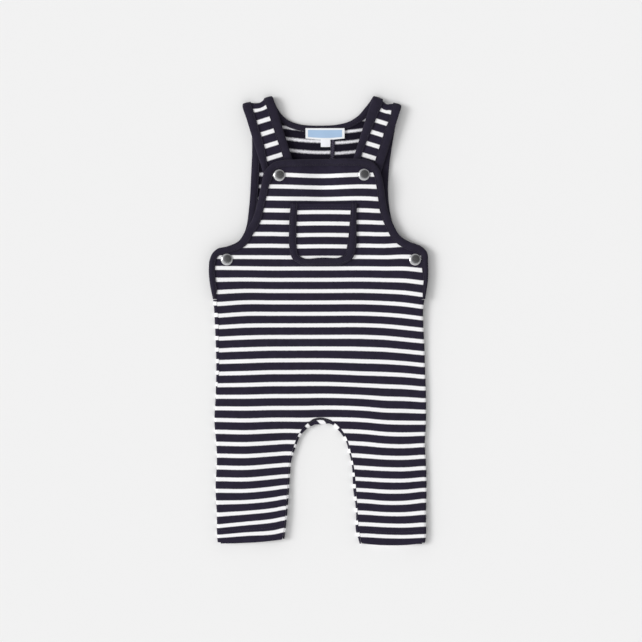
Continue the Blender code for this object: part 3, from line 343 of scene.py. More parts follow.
# White stripes of the inseam strip, by number along its seam from the right hem.
STRIP_STRIPES = (
    # number, along the seam
    (-1.0, -3.6), (0.0, 8.6), (1.0, 20.9), (2.0, 34.0), (3.0, 46.1), (4.0, 59.3), (5.0, 71.5),
    (7.0, 96.7), (8.0, 110.4), (9.0, 127.0), (9.8, 144.8), (10.0, 150.0), (10.2, 155.0),
    (11.0, 164.4), (12.0, 177.8), (13.0, 190.8), (14.0, 199.1), (15.0, 211.4), (16.0, 223.1),
    (17.0, 234.1), (18.0, 244.9), (19.0, 255.7), (20.0, 266.8), (21.0, 280.2), (22.0, 291.8),
)
JERSEY = ("jersey_outer", "jersey_inner")   # looks of its two faces
STRIP_LEAN = 0.5                # lean of the strip's stripes at the top of the arch
STRIP_LEAN_AT = 2.0             # across, where they lean
STRIP_LEAN_FADES = (7.0, 12.0)  # from there
# The overlock on the arch is dense navy thread; the dark line it lays stands both for its
# stitches and, as painted shade, for the seam's shadow there.
ARCH_SEWN = (-11.5, 14.5)       # across, where overlock stitches show on it
ARCH_PITCH = 0.9                # from one of them to the next
ARCH_LOOP = (1.0, 1.1)          # middle of them beyond the seam, and their reach from there
ARCH_RISE = (0.3, 0.1)          # the same above the cloth
ARCH_THREAD = 0.0007            # thickness of their thread, in metres
WOBBLE_SCALE = 420.0            # of the noise that the stripes sway with
POCKET_FIRST = 349.45           # first white stripe of the pocket
POCKET_REPEAT = 11.95
POCKET_BOW = {"middle": 4.5, "over": 35.0, "rise": 0.6}

# ---- mesh spacing
STEP = 3.0                      # between stations along an edge
LATTICE = 3.6                   # between points inside a panel
CROWDING = 0.62                 # least distance from a lattice point, in spacings
TURN = math.radians(9)          # bend of an edge between stations
FOLD_STEP = 0.6                 # between stations round a shoulder fold
FOLD_ROWS = 14                  # rows of points round a shoulder fold
FOLD_SHARES = (0.3, 0.37, 0.44, 0.5, 0.56, 0.63, 0.7)   # where they lie across the strap
FOLD_SQUARE = (1.0, 10.0)       # tape is laid square to a fold between these distances
SEAM_ROW = 3.0                  # row of points beside the inner-leg seam
SIDE_ROW = 4.5                  # the same beside the roll of a side
ROLL_STEP = 0.5                 # between rows of points round a rolled side
SIDE_STATIONS = 86              # along a side seam
SEAM_STATIONS = 90              # along the centre back seam
HEM_STATIONS = 25               # across a hem
HEM_TURN_STEPS = 7              # round the turn of a hem
HEM_ROWS = (5.0, 8.5, 12.0)     # rows of points past the turn
SIDE_ROWS = (1, 0.45)           # rows beside the roll of a side, as shares of SIDE_ROW
MOUTH_STATIONS = 20             # across the pocket's mouth
SEWN_STATIONS = 40              # along a short row of stitches
LABEL_STATIONS = (12, 13)       # along a label's ends: its stitches, its rim
ALLOWANCE_SPACING = 1.6         # between points of the seam's allowance
ARCH_STEP = 0.11                # along the overlock on the arch
STRIP_STATIONS = 13             # round the inseam strip
SNAP_STEPS = 48                 # round a snap
APART = 0.3                     # least distance between two points of a panel's rows
OFF_EDGE = 0.25                 # least distance from such a point to the panel's edge
CHUNK = 3000                    # points that are measured at a time
SHARP = math.radians(42)        # edges that bend more stay sharp

# ---- stage
CAMERA_HEIGHT = 2.5
CAMERA_AT = (0.0026, -0.0008)   # across and along, above the garment's middle
CAMERA_LEVEL = 0.004            # its height counts from here
FRAME_SIDE = 0.6741             # width of the floor that the camera sees
SENSOR = 36.0
FLOOR_REACH = 3.0
FLOOR_DROP = 0.0003             # the floor lies so far under the cloth
KEY_WAY = (0.86, -0.08, -0.62)  # the way that the key light shines
KEY_ANGLE = math.radians(24)    # how wide the key light's source looks
SKY_LEVEL = 1.3                 # fill light level with the floor, in shares of the whole
SHADED_SKY = (0.24, 0.21, 0.948)  # towards the middle of the shade round the camera
OVERHEAD = (0.79, 0.93)         # cosines at which that shade begins and is full


# ---- curves
def smooth_line(points, step=1.0):
    """A dense line through the points, smooth however unevenly they are spaced."""
    points = np.array(points, float)
    chord = np.linalg.norm(np.diff(points[:, :2], axis=0), axis=1)
    slope = np.diff(points, axis=0) / chord[:, None]
    blend = (chord[:-1] / (chord[:-1] + chord[1:]))[:, None]
    inner = slope[:-1] * (1 - blend) + slope[1:] * blend
    tangent = np.vstack([slope[:1], inner, slope[-1:]])
    spans = []
    for i, length in enumerate(chord):
        t = np.linspace(0, 1, max(2, round(length / step)), endpoint=False)[:, None]
        places = points[i] * (1 + 2 * t) * (1 - t) ** 2 + points[i + 1] * t * t * (3 - 2 * t)
        pull = tangent[i] * t * (1 - t) ** 2 - tangent[i + 1] * t * t * (1 - t)
        spans.append(places + length * pull)
    return np.vstack(spans + [points[-1:]])


def smooth_at(where, places, values):
    """The values between the given places, along a smooth curve, level beyond its ends."""
    return np.interp(where, *smooth_line(np.column_stack([places, values])).T)


def stations(line, fine=None):
    """Points and right-hand normals along a line, closer where it bends or is to be fine."""
    move = np.diff(line[:, :2], axis=0)
    length = np.linalg.norm(move, axis=1)
    heading = np.unwrap(np.arctan2(move[:, 1], move[:, 0]))
    bend = np.abs(np.diff(heading, append=heading[-1]))
    cost = length / STEP + bend / TURN
    if fine is not None:
        cost += length * fine(line[:-1, 0], line[:-1, 1])
    cost = np.concatenate([[0.0], np.cumsum(cost)])
    at = np.linspace(0, cost[-1], max(2, math.ceil(cost[-1])) + 1)
    points = np.column_stack([np.interp(at, cost, column) for column in line.T])
    heading = np.interp(at, (cost[:-1] + cost[1:]) / 2, heading)
    return points, np.column_stack([np.sin(heading), -np.cos(heading)])


def distance(u, v, line):
    """Distance of each point from a line."""
    start = line[:-1, :2]
    move = np.diff(line[:, :2], axis=0)
    square = (move ** 2).sum(axis=1)
    flat_u = np.ravel(u)
    flat_v = np.ravel(v)
    nearest = np.empty(len(flat_u))
    for i in range(0, len(flat_u), CHUNK):
        gap_u = flat_u[i:i + CHUNK, None] - start[:, 0]
        gap_v = flat_v[i:i + CHUNK, None] - start[:, 1]
        t = np.clip((gap_u * move[:, 0] + gap_v * move[:, 1]) / square, 0, 1)
        away = (gap_u - t * move[:, 0]) ** 2 + (gap_v - t * move[:, 1]) ** 2
        nearest[i:i + CHUNK] = np.sqrt(away.min(axis=1))
    return nearest.reshape(np.shape(u))


def inside(u, v, outline):
    """Which points lie inside a closed outline."""
    crossed = np.zeros(np.shape(u), int)
    for (ax, ay), (bx, by) in zip(outline, np.roll(outline, -1, axis=0)):
        rise = by - ay if by != ay else 1.0
        crossed += ((ay > v) != (by > v)) & (u < ax + (v - ay) * (bx - ax) / rise)
    return crossed % 2 == 1


def ease(value, near, far):
    """1 up to near and 0 from far on, with a smooth change between."""
    t = np.clip((far - value) / (far - near), 0, 1)
    return t * t * (3 - 2 * t)


def run_of(points):
    """How far along a line each of its points lies."""
    steps = np.linalg.norm(np.diff(points[:, :2], axis=0), axis=1)
    return np.concatenate([[0.0], np.cumsum(steps)])


def strap_edge(side, edge):
    """The straight strap edge from past the shoulder fold to the strap end."""
    fold = FOLDS[side]
    return np.array(fold[edge]) + np.outer(STRAP_POINTS, fold["axis"]) * STRAP_RUN


def split(line, at):
    """Cuts a line in two at its nearest place to a point."""
    cut = int(np.argmin(np.hypot(line[:, 0] - at[0], line[:, 1] - at[1])))
    return line[:cut + 1], line[cut:]


BIB_LINE = smooth_line(BIB_EDGE)
POCKET_LINE = smooth_line(POCKET_EDGE)
INSEAM_LINE = smooth_line(INSEAM)
ARM_LINES = {side: smooth_line(np.vstack([edge, strap_edge(side, "outer")]))
             for side, edge in BACK_EDGES.items()}
NECK_LINE = smooth_line(np.vstack([strap_edge("left", "inner")[::-1], NECK_EDGE,
                                   strap_edge("right", "inner")]))
SIDE_LINES = {side: smooth_line([(row[0], row[1 + column]) for row in SIDES])
              for column, side in enumerate(SIGNS)}


# ---- laying the panels
def hem_line(u):
    """Where the outside of a hem fold lies, along the legs."""
    height = np.zeros(np.shape(u))
    for side, sign in SIGNS.items():
        hem = HEMS[side]
        across, low = hem["lowest"]
        rise = hem["rise"] * np.minimum(np.abs(u - across) / hem["over"], 1) ** HEM_CURVE
        corner, more = hem["corner"]
        rise = rise + more * np.clip(1 - np.abs(u - corner) / HEM_CORNER, 0, 1) ** 2
        height = np.where(sign * u > 0, low + rise, height)
    return height


def hem_base(u):
    """Where the turn of a hem starts on the flat cloth, along the legs."""
    return hem_line(u) + HALF + HEM_FOLD


def back_height(u, v):
    """Middle of the back panels above the floor."""
    edges = np.minimum(distance(u, v, NECK_LINE), distance(u, v, ARM_LINES["left"]))
    edges = np.minimum(edges, distance(u, v, ARM_LINES["right"]))
    bound = np.maximum(ease(edges, *BACK_RISE), 1 - ease(v, *SHOULDER))
    height = BACK_FLAT + (BACK_BOUND - BACK_FLAT) * bound
    for (x, y), under, _ in SNAPS.values():
        if under == BACK_BOUND:
            level = ease(np.hypot(u - x, v - y), *WAIST_PAD)
            height = height * (1 - level) + under * level
    return height


def front_height(u, v):
    """Middle of the front panel above the floor."""
    edges = distance(u, v, INSEAM_LINE)
    for line in SIDE_LINES.values():
        edges = np.minimum(edges, np.abs(u - np.interp(v, *line.T)))
    height = FRONT_REST + (FRONT_SIDE - FRONT_REST) * ease(edges, *SIDE_RISE)
    one, two, three, four = WAVE_LENGTHS
    wave = (1 + np.sin(u / one + v / two) * np.sin(v / three - u / four)) / 2
    height += FRONT_WAVE * wave * (1 - ease(edges, *SIDE_RISE))
    height += (FRONT_HEM - height) * ease(v - hem_line(u), *HEM_RISE)
    (middle, top), (wide, deep) = BIB_SAG["at"], BIB_SAG["size"]
    sag = BIB_SAG["share"] * ease(np.hypot((u - middle) / wide, (v - top) / deep), 0.2, 1.0)
    height += (FRONT_BOUND - height) * ease(distance(u, v, BIB_LINE), *FRONT_RISE) * (1 - sag)
    for (x, y), _, over in SNAPS.values():
        if over == SNAP_BIB:
            corner = ease(np.hypot(u - x, v - y - CORNER_PAST), *CORNER_PAD)
            height += (FRONT_CORNER - height) * corner
        level = ease(np.hypot(u - x, v - y), *SNAP_PAD)
        height = height * (1 - level) + over * level
    return height


def pocket_height(u, v):
    """Middle of the pocket above the floor."""
    puff = 1 - ease(distance(u, v, POCKET_LINE), *POCKET_RISE)
    return front_height(u, v) + POCKET_LIFT + POCKET_PUFF * puff


def roll_start(side, v):
    """Where the roll of a side begins across the garment, and its radius."""
    sign = SIGNS[side]
    outermost = np.interp(v, *SIDE_LINES[side].T)
    inner = outermost - sign * SIDE_ROW
    radius = (front_height(inner, v) - back_height(inner, v)) / 2
    return outermost - sign * (HALF + radius), radius


def roll_sides(u, v, w, facing):
    """Lays points of the front (facing 1) or the back (-1): level inside, and round the side
    seams."""
    seamed = v < VENT_BASE
    left, right = (np.where(seamed, roll_start(side, v)[0], u) for side in SIGNS)
    level = np.clip(u, left, right)
    high = front_height(level, v)
    low = back_height(level, v)
    radius = (high - low) / 2
    past = np.abs(u - level)
    angle = np.minimum(past / radius, math.pi)
    over = np.maximum(past - math.pi * radius, 0)
    across = (radius + facing * w) * np.sin(angle) - over
    height = (high + low) / 2 + facing * (radius + facing * w) * np.cos(angle)
    return np.stack([level + np.sign(u - level) * across, v, height], axis=-1)


def turn_hem(u, v, w, inward):
    """Turns what lies past a hem up inside the leg; inward is 1 where the inside is up."""
    past = hem_base(u) - v
    angle = np.clip(past / HEM_FOLD, 0, math.pi)
    radius = HEM_FOLD - inward * w
    up = np.maximum(past - math.pi * HEM_FOLD, 0)
    laid = np.where(past > 0, v + past - radius * np.sin(angle) + up, v)
    return laid, inward * (HEM_FOLD - radius * np.cos(angle))


def front_place(u, v, w):
    """Lays points of the flat front."""
    return roll_sides(u, *turn_hem(u, v, w, -1), 1)


def fold_frame(side):
    """Outer end of a shoulder fold, the way along it, the way past it, and its length."""
    outer, inner = (np.array(FOLDS[side][end]) for end in ("outer", "inner"))
    length = np.linalg.norm(inner - outer)
    along = (inner - outer) / length
    past = np.array((-along[1], along[0]))
    return outer, along, past * np.sign(past[1]), length


def past_fold(u, v, side):
    """How far points of the flat strap lie past the start of the shoulder fold."""
    outer, _, out, _ = fold_frame(side)
    return (u - outer[0]) * out[0] + (v - outer[1]) * out[1] + FOLD_RADIUS + BOUND


def fold_dip(u, v, side):
    """How far a shoulder fold falls short of the straight line between its ends: between its
    tapes, and at its rounded corners."""
    outer, along, _, length = fold_frame(side)
    run = (u - outer[0]) * along[0] + (v - outer[1]) * along[1]
    places, depths = np.array(FOLDS[side]["dips"]).T
    corner = np.clip(1 - np.minimum(run, length - run) / FOLD_CORNER, 0, 1)
    missing = FOLD_CORNER * FOLD_ROUND * (1 - np.sqrt(1 - corner ** 2))
    return np.interp(run / length, places, depths) + missing


def back_place(u, v, w):
    """Lays points of the flat back halves, straps too."""
    v, w = turn_hem(u, v, w, 1)
    laid = roll_sides(u, v, w, -1)
    for side, sign in SIGNS.items():
        out = fold_frame(side)[2]
        past = past_fold(u, v, side)
        angle = np.clip(past / FOLD_RADIUS, 0, math.pi)
        reach = (FOLD_RADIUS - w) * np.sin(angle) - np.maximum(past - math.pi * FOLD_RADIUS, 0)
        dip = fold_dip(u, v, side) * ease(np.abs(past - math.pi * FOLD_RADIUS / 2), *DIP_REACH)
        strap = (sign * u > STRAP_ACROSS) & (v > SHOULDER[0])
        shift = np.where(past > 0, reach - past, 0) - dip
        x = u + out[0] * shift
        y = v + out[1] * shift
        low, high = FOLDS[side]["sink"]
        top = STRAP_LOW + (STRAP_HIGH - STRAP_LOW) * (1 - ease(y, low, high))
        turned = BACK_BOUND + FOLD_RADIUS - (FOLD_RADIUS - w) * np.cos(angle)
        z = np.where(past > math.pi * FOLD_RADIUS, top - w, turned)
        z = np.where(past > 0, z, laid[..., 2])
        folded = np.stack([x, y, z], axis=-1)
        laid = np.where(strap[..., None], folded, laid)
    return laid


def pocket_place(u, v, w):
    """Lays points of the flat pocket on the bib."""
    return np.stack([u, v, pocket_height(u, v) + w], axis=-1)


def label_place(u, v, w):
    """Lays points of the neck label and the size tag inside the back."""
    step = LABEL_STEP * (1 - ease(v - LABEL_AT[1], *LABEL_RISE))
    height = back_height(u, v) + HALF + GAP + LABEL / 2 + step
    return np.stack([u, v, height + w], axis=-1)


# ---- stripes on the flat cloth
def front_stripes(u, v):
    """Number of the stripe at each place of the flat front; the white ones are whole."""
    table = sorted(DROOP)
    rows = [smooth_at(u, DROOP_ACROSS, droop) for _, droop in table]
    places = np.array([along for along, _ in table])
    at = np.interp(v, places, np.arange(len(places)))
    low = np.minimum(at.astype(int), len(places) - 2)
    rows = np.array(rows)
    pick = np.arange(len(low))
    below = rows[np.maximum(low - 1, 0), pick]
    here = rows[low, pick]
    above = rows[low + 1, pick]
    beyond = rows[np.minimum(low + 2, len(places) - 1), pick]
    t = at - low
    droop = here + t * (above - below) / 2
    droop += t * t * (below - 2.5 * here + 2 * above - beyond / 2)
    droop += t ** 3 * (1.5 * (here - above) + (beyond - below) / 2)
    return (FRONT_FIRST - v - droop) / REPEAT


def numbers_at(where, table):
    """Stripe numbers from a table of (number, place)."""
    table = np.array(sorted(table, key=lambda row: row[1]))
    return np.interp(where, table[:, 1], table[:, 0])


def back_stripes(u, v):
    """The same for the flat back, whose straps have their own stripes past the folds."""
    away = np.minimum(np.abs(u - BACK_BOW["middle"]) / BACK_BOW["over"], 1)
    bow = BACK_BOW["rise"] * away ** 2 * (1 - ease(v, *BACK_BOW["grows"]))
    halves = [base + slope * (v - BACK_LIFT_AT) for base, slope in BACK_LIFT.values()]
    lift = np.where(u < BACK_HALVES, *halves) * (1 - ease(v, *BACK_LIFT_GROWS))
    number = numbers_at(v - bow - lift, BACK_STRIPES)
    for side, sign in SIGNS.items():
        outer, along, _, length = fold_frame(side)
        middle = outer + along * length / 2
        axis = FOLDS[side]["axis"]
        down = (u - middle[0]) * axis[0] + (v - middle[1]) * axis[1]
        strap = STRAP_NUMBER - numbers_at(down, STRAP_STRIPES[side])
        share = ease(-past_fold(u, v, side), -STRAP_BLEND[1], -STRAP_BLEND[0])
        share = share * (sign * u > STRAP_ACROSS)
        number = number * (1 - share) + strap * share
    return number


def pocket_stripes(u, v):
    """The same for the pocket."""
    bow = POCKET_BOW["rise"] * ((u - POCKET_BOW["middle"]) / POCKET_BOW["over"]) ** 2
    return (POCKET_FIRST - v - bow) / POCKET_REPEAT


def plain(u, v):
    """No stripes: the cloth's own length takes their place."""
    return -v / REPEAT


# ---- making meshes
def finish_mesh(name, bm, looks, slot, node=None):
    """Makes the named piece, in metres, with its place in its mesh and the materials of its
    looks. It replaces a node. Its slot is not used."""
    for vert in bm.verts:
        vert.co = (vert.co - Vector(ORIGIN)) * MM
    mesh = bpy.data.meshes.new(name)
    bm.to_mesh(mesh)
    bm.free()
    mesh.shade_smooth()
    mesh.set_sharp_from_angle(angle=SHARP)
    for look in looks:
        mesh.materials.append(materials()[look])
    piece = bpy.data.objects.new(name, mesh)
    bpy.context.scene.collection.objects.link(piece)
    if node:
        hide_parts(node)
    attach(piece, "root")
    return piece


def lattice(outline, rows, spacing):
    """Points inside an outline, clear of its edge and of the given rows."""
    low = outline.min(axis=0)
    high = outline.max(axis=0)
    lines = np.arange(low[1] + spacing / 3, high[1], spacing * math.sqrt(3) / 2)
    points = []
    for i, along in enumerate(lines):
        across = np.arange(low[0] + spacing * (i % 2) / 2, high[0], spacing)
        points.append(np.column_stack([across, np.full(len(across), along)]))
    points = np.vstack(points)
    points = points[inside(points[:, 0], points[:, 1], outline)]
    near = KDTree(len(outline) + len(rows))
    for i, spot in enumerate(np.vstack([outline, rows])):
        near.insert((*spot, 0), i)
    near.balance()
    clear = [near.find((*spot, 0))[2] > CROWDING * spacing for spot in points]
    return points[clear]


def thin(rows, outline):
    """Drops row points that lie outside the outline or crowd it or each other."""
    closed = np.vstack([outline, outline[:1]])
    keep = inside(rows[:, 0], rows[:, 1], outline)
    keep &= distance(rows[:, 0], rows[:, 1], closed) > OFF_EDGE
    rows = rows[keep]
    cells = {}
    kept = []
    for row in rows:
        cell = (int(row[0] // APART), int(row[1] // APART))
        around = [cells.get((cell[0] + i, cell[1] + j)) for i in (-1, 0, 1) for j in (-1, 0, 1)]
        if all(spot is None or np.hypot(*(spot - row)) > APART for spot in around):
            cells[cell] = row
            kept.append(row)
    return np.array(kept)


def panel(name, outline, rows, place, stripes, looks=JERSEY, slot="jersey_striped",
          wall=CLOTH, spacing=LATTICE):
    """A wall of cloth cut to an outline and laid, for the node of its name if there is one.
    Its looks are those of its upper face on the flat and of its lower face. Its UV map is the
    flat cloth in metres, with the stripes evenly spaced along V."""
    points = np.vstack([outline, rows])
    if spacing:
        points = np.vstack([points, lattice(outline, rows, spacing)])
    count = len(outline)
    rim = [(i, (i + 1) % count) for i in range(count)]
    flat, _, faces, *_ = delaunay_2d_cdt([Vector(p) for p in points], rim, [], 1, 1e-4)
    bm = bmesh.new()
    verts = [bm.verts.new((p.x, p.y, -wall / 2)) for p in flat]
    for face in faces:
        bm.faces.new([verts[i] for i in face])
    bmesh.ops.recalc_face_normals(bm, faces=bm.faces)
    if bm.faces[:][0].normal.z > 0:
        bmesh.ops.reverse_faces(bm, faces=bm.faces)
    raised = bmesh.ops.extrude_face_region(bm, geom=bm.faces[:], use_keep_orig=True)
    top = [item for item in raised["geom"] if isinstance(item, bmesh.types.BMVert)]
    bmesh.ops.translate(bm, verts=top, vec=(0, 0, wall))
    bmesh.ops.recalc_face_normals(bm, faces=bm.faces)
    flat = np.array([vert.co for vert in bm.verts])
    number = stripes(flat[:, 0], flat[:, 1])
    cloth = np.column_stack([flat[:, 0], -number * REPEAT]) * MM
    spots = place(flat[:, 0], flat[:, 1], flat[:, 2])
    layer = bm.loops.layers.uv.new("cloth")
    bm.verts.index_update()
    for face in bm.faces:
        face.material_index = 0 if face.calc_center_median().z > 0 else len(looks) - 1
        for loop in face.loops:
            loop[layer].uv = cloth[loop.vert.index]
    for vert, spot in zip(bm.verts, spots):
        vert.co = spot
    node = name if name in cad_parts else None
    return finish_mesh(name + "_cloth", bm, looks, slot, node)


def sweep(name, rings, along, around, looks, slot, node, inner_from=None, lean=None):
    """A solid through rings of points, one ring for each station, with both ends closed. Its
    UV map has the way round it as U and the way along it as V, in metres; with a lean, V also
    grows by that share of the way round."""
    bm = bmesh.new()
    layer = bm.loops.layers.uv.new("cloth")
    verts = [[bm.verts.new(spot) for spot in ring] for ring in rings]
    count = len(rings[0])
    around = np.append(around, around[-1] + (around[-1] - around[-2]))
    lean = np.zeros(len(rings)) if lean is None else lean
    for i, (one, two) in enumerate(zip(verts, verts[1:])):
        for j in range(count):
            k = (j + 1) % count
            face = bm.faces.new((one[j], one[k], two[k], two[j]))
            if inner_from is not None and j >= inner_from - 1:
                face.material_index = 1
            corners = ((i, j), (i, j + 1), (i + 1, j + 1), (i + 1, j))
            for loop, (a, b) in zip(face.loops, corners):
                across = around[b] * MM
                loop[layer].uv = (across, along[a] * MM + lean[a] * across)
    bm.faces.new(verts[0][::-1])
    bm.faces.new(verts[-1])
    bmesh.ops.recalc_face_normals(bm, faces=bm.faces)
    bmesh.ops.triangulate(bm, faces=[face for face in bm.faces if len(face.verts) > 4])
    return finish_mesh(name, bm, looks, slot, node)


# ---- cutting the panels
def moved(points, normals, inward):
    """A line moved in from an edge."""
    return points[:, :2] + normals * np.reshape(inward, (-1, 1))


def roll_at(side, along):
    """Where the roll of a side begins across the garment, at one place along it."""
    return float(roll_start(side, np.array([along]))[0][0])


def side_rows(side, part_of):
    """Edge of the front or back at a rolled side, from its roll at the hem out, up and in
    again at the vent, and the rows of points beside it."""
    sign = SIGNS[side]
    low = float(hem_base(np.array([roll_at(side, SIDE_ROW)]))[0])
    heights = np.linspace(low, VENT_BASE - VENT_CLIP, SIDE_STATIONS)
    start, radius = roll_start(side, heights)
    along, *wraps = np.array(WRAP).T
    reach = np.interp(heights, along, wraps[sign > 0]) * math.pi * radius
    if part_of == "front":
        reach = math.pi * radius - reach - GAP
    rows = [start - sign * SIDE_ROW * part for part in SIDE_ROWS]
    count = max(1, math.ceil(reach.max() / ROLL_STEP))
    rows += [start + sign * reach * part for part in np.linspace(0, 1, count, endpoint=False)]
    rows = [np.column_stack([row, heights]) for row in rows]
    edge = np.column_stack([start + sign * reach, heights])
    hem = [row[0] for row in rows[2:]]
    vent = [row[-1] for row in rows[:1:-1]]
    return np.vstack([hem, edge, vent]), np.vstack(rows)


def clip(side):
    """The two inner corners of the clip into a panel at the vent, from below."""
    across = roll_at(side, VENT_BASE - VENT_CLIP) - SIGNS[side] * CLIP_DEPTH
    return np.array([(across, VENT_BASE - VENT_CLIP), (across, VENT_BASE + VENT_CLIP)])


def hem_flap(side, seam_across):
    """Outline of the cloth turned up at a hem, from its right end, and its rows."""
    sign = SIGNS[side]
    outer = roll_at(side, SIDE_ROW) - sign * HEM_INSET
    inner = seam_across + sign * HEM_INSET
    across = np.linspace(outer, inner, HEM_STATIONS)[::sign]
    steps = (*np.linspace(0, HEM_FOLD * math.pi, HEM_TURN_STEPS), *HEM_ROWS)
    base = hem_base(across)
    right = [(across[0], base[0] - step) for step in steps]
    left = [(across[-1], base[-1] - step) for step in steps[::-1]]
    bottom = np.column_stack([across, base - HEM_TURN])
    rows = [np.column_stack([across, base - step])[1:-1] for step in steps]
    return np.vstack([right, bottom, left]), np.vstack(rows)


def two_halves(line, at, fine=None):
    """Stations of a line with one at a given place, and the number of them up to there."""
    halves = [stations(half, fine) for half in split(line, at)]
    points, normals = (np.vstack([one, two[1:]]) for one, two in zip(*halves))
    return points, normals, len(halves[0][0])


def inseam_stations():
    """Stations of the inner-leg seam, with one at the top of the arch."""
    return two_halves(INSEAM_LINE, BACK_SEAM[1])[:2]


def fold_density(u, v):
    """Extra stations for each millimetre round the shoulder folds."""
    extra = np.zeros(np.shape(u))
    for side, sign in SIGNS.items():
        past = past_fold(u, v, side)
        near = (past > -1) & (past < math.pi * FOLD_RADIUS + 1) & (sign * u > 0)
        extra = np.where(near, 1 / FOLD_STEP, extra)
    return extra


def along_fold(points, normals):
    """Turns the normals near a shoulder fold to run along it, so that tape folds squarely."""
    half = math.pi * FOLD_RADIUS / 2
    for side, sign in SIGNS.items():
        along = fold_frame(side)[1]
        past = past_fold(points[:, 0], points[:, 1], side)
        near = ease(np.abs(past - half) - half, *FOLD_SQUARE) * (sign * points[:, 0] > 0)
        lean = np.where(near > 0, normals @ along, 1.0)
        near = near[:, None]
        normals = normals * (1 - near) + along / lean[:, None] * near
    return normals


def neck_stations():
    """Stations of the neck edge, with one at the centre back seam."""
    points, normals, middle = two_halves(NECK_LINE, BACK_SEAM[0], fold_density)
    return points, along_fold(points, normals), middle


def arm_stations(side):
    """Stations of an armhole edge, clockwise round the garment."""
    line = ARM_LINES[side] if side == "left" else ARM_LINES[side][::-1]
    points, normals = stations(line, fold_density)
    return points, along_fold(points, normals)


def fold_rows(side):
    """Rows of points across a strap at its fold."""
    outer, along, out, length = fold_frame(side)
    rows = []
    for past in np.linspace(0, math.pi * FOLD_RADIUS, FOLD_ROWS + 1):
        base = outer + out * (past - FOLD_RADIUS - BOUND)
        rows += [base + along * length * share for share in FOLD_SHARES]
    return np.array(rows)


# ---- materials
def add_node(tree, kind, inputs=(), **settings):
    """Adds a node to a tree, with values or other nodes' outputs on its inputs."""
    node = tree.nodes.new(kind)
    for name, value in settings.items():
        setattr(node, name, value)
    for socket, value in dict(inputs).items():
        if isinstance(value, bpy.types.NodeSocket):
            tree.links.new(value, node.inputs[socket])
        else:
            node.inputs[socket].default_value = value
    return node


def times(colour, share):
    """A colour made darker or paler."""
    return [value * share for value in colour[:3]]


class Finish:
    """A material that is being made, with short ways to add its nodes."""

    def __init__(self, name, colour, roughness, **sockets):
        self.material = bpy.data.materials.new(name)
        self.material.use_nodes = True
        self.tree = self.material.node_tree
        self.shader = self.tree.nodes["Principled BSDF"]
        self.shader.inputs["Base Color"].default_value = (*colour[:3], 1.0)
        self.shader.inputs["Roughness"].default_value = roughness
        for socket, value in sockets.items():
            self.shader.inputs[socket.replace("_", " ")].default_value = value

    def node(self, kind, inputs=(), **settings):
        """Adds a shader node."""
        return add_node(self.tree, "ShaderNode" + kind, inputs, **settings)

    def maths(self, operation, *values):
        """What an operation makes of up to three values."""
        return self.node("Math", dict(enumerate(values)), operation=operation).outputs[0]

    def ramp(self, value, low, high, start=0.0, end=1.0):
        """A smooth change from start to end while a value goes from low to high."""
        inputs = {"Value": value, "From Min": low, "From Max": high,
                  "To Min": start, "To Max": end}
        return self.node("MapRange", inputs, interpolation_type="SMOOTHSTEP").outputs[0]

    def mix(self, share, one, two):
        """A mix of two colours."""
        one, two = (value if isinstance(value, bpy.types.NodeSocket) else (*value[:3], 1.0)
                    for value in (one, two))
        inputs = {"Factor": share, 6: one, 7: two}
        return self.node("Mix", inputs, data_type="RGBA").outputs[2]

    def noise(self, vector, scale, detail=2.0, roughness=0.5):
        """Noise over a place."""
        inputs = {"Vector": vector, "Scale": scale, "Detail": detail, "Roughness": roughness}
        return self.node("TexNoise", inputs).outputs["Fac"]

    def cloth(self):
        """The piece's UV map, and its two parts: across and along the cloth."""
        vector = self.node("UVMap", uv_map="cloth").outputs[0]
        parts = self.node("SeparateXYZ", {0: vector}).outputs
        return vector, parts[0], parts[1]

    def bump(self, height, distance, strength=1.0):
        """Raises the surface by a height, in shares of a distance."""
        inputs = {"Height": height, "Distance": distance, "Strength": strength}
        self.join("Normal", self.node("Bump", inputs).outputs[0])

    def join(self, socket, value):
        """Joins an output to the shader."""
        self.tree.links.new(value, self.shader.inputs[socket])


def white_share(finish, cloth, vector, along, sway, inward, outward, **wobble):
    """How white striped cloth is at each place. The stripes sway with a noise, and blur over
    the distances inward and outward of their edges."""
    shift = finish.maths("SUBTRACT", finish.noise(vector, WOBBLE_SCALE, **wobble), 0.5)
    place = finish.maths("ADD", along, finish.maths("MULTIPLY", shift, sway))
    place = finish.maths("ADD", place, cloth.repeat / 2)
    phase = finish.maths("WRAP", place, cloth.repeat, 0.0)
    away = finish.maths("ABSOLUTE", finish.maths("SUBTRACT", phase, cloth.repeat / 2))
    half = cloth.white_width / 2
    return finish.ramp(away, half - inward, half + outward, 1.0, 0.0)


def speckled(finish, vector, colour, flecks, fleck, share, patch, patches):
    """A dark colour with patches and flecks that are so many times paler. The flecks show up
    to a share."""
    tone = finish.ramp(finish.noise(vector, patches, 3.0), 0.35, 0.65)
    dark = finish.mix(tone, colour, times(colour, patch))
    return finish.mix(finish.ramp(flecks, 0.45, 0.8, 0.0, share), dark, times(colour, fleck))


def raise_knit(finish, vector, across, along, wale, course, depth):
    """Raises a fuzzy fine knit: columns of loops, each a small V."""
    column = finish.maths("PINGPONG", across, wale / 2)
    lean = finish.maths("MULTIPLY", column, 1.1)
    row = finish.maths("PINGPONG", finish.maths("ADD", along, lean), course / 2)
    column = finish.maths("MULTIPLY", column, 2 / wale)
    row = finish.maths("MULTIPLY", row, 2 / course)
    loops = finish.maths("MULTIPLY", finish.maths("POWER", column, 0.6), row)
    fuzz = finish.maths("MULTIPLY", finish.noise(vector, 2600.0, 3.0, 0.7), 0.6)
    finish.bump(finish.maths("ADD", loops, fuzz), depth, 0.6)


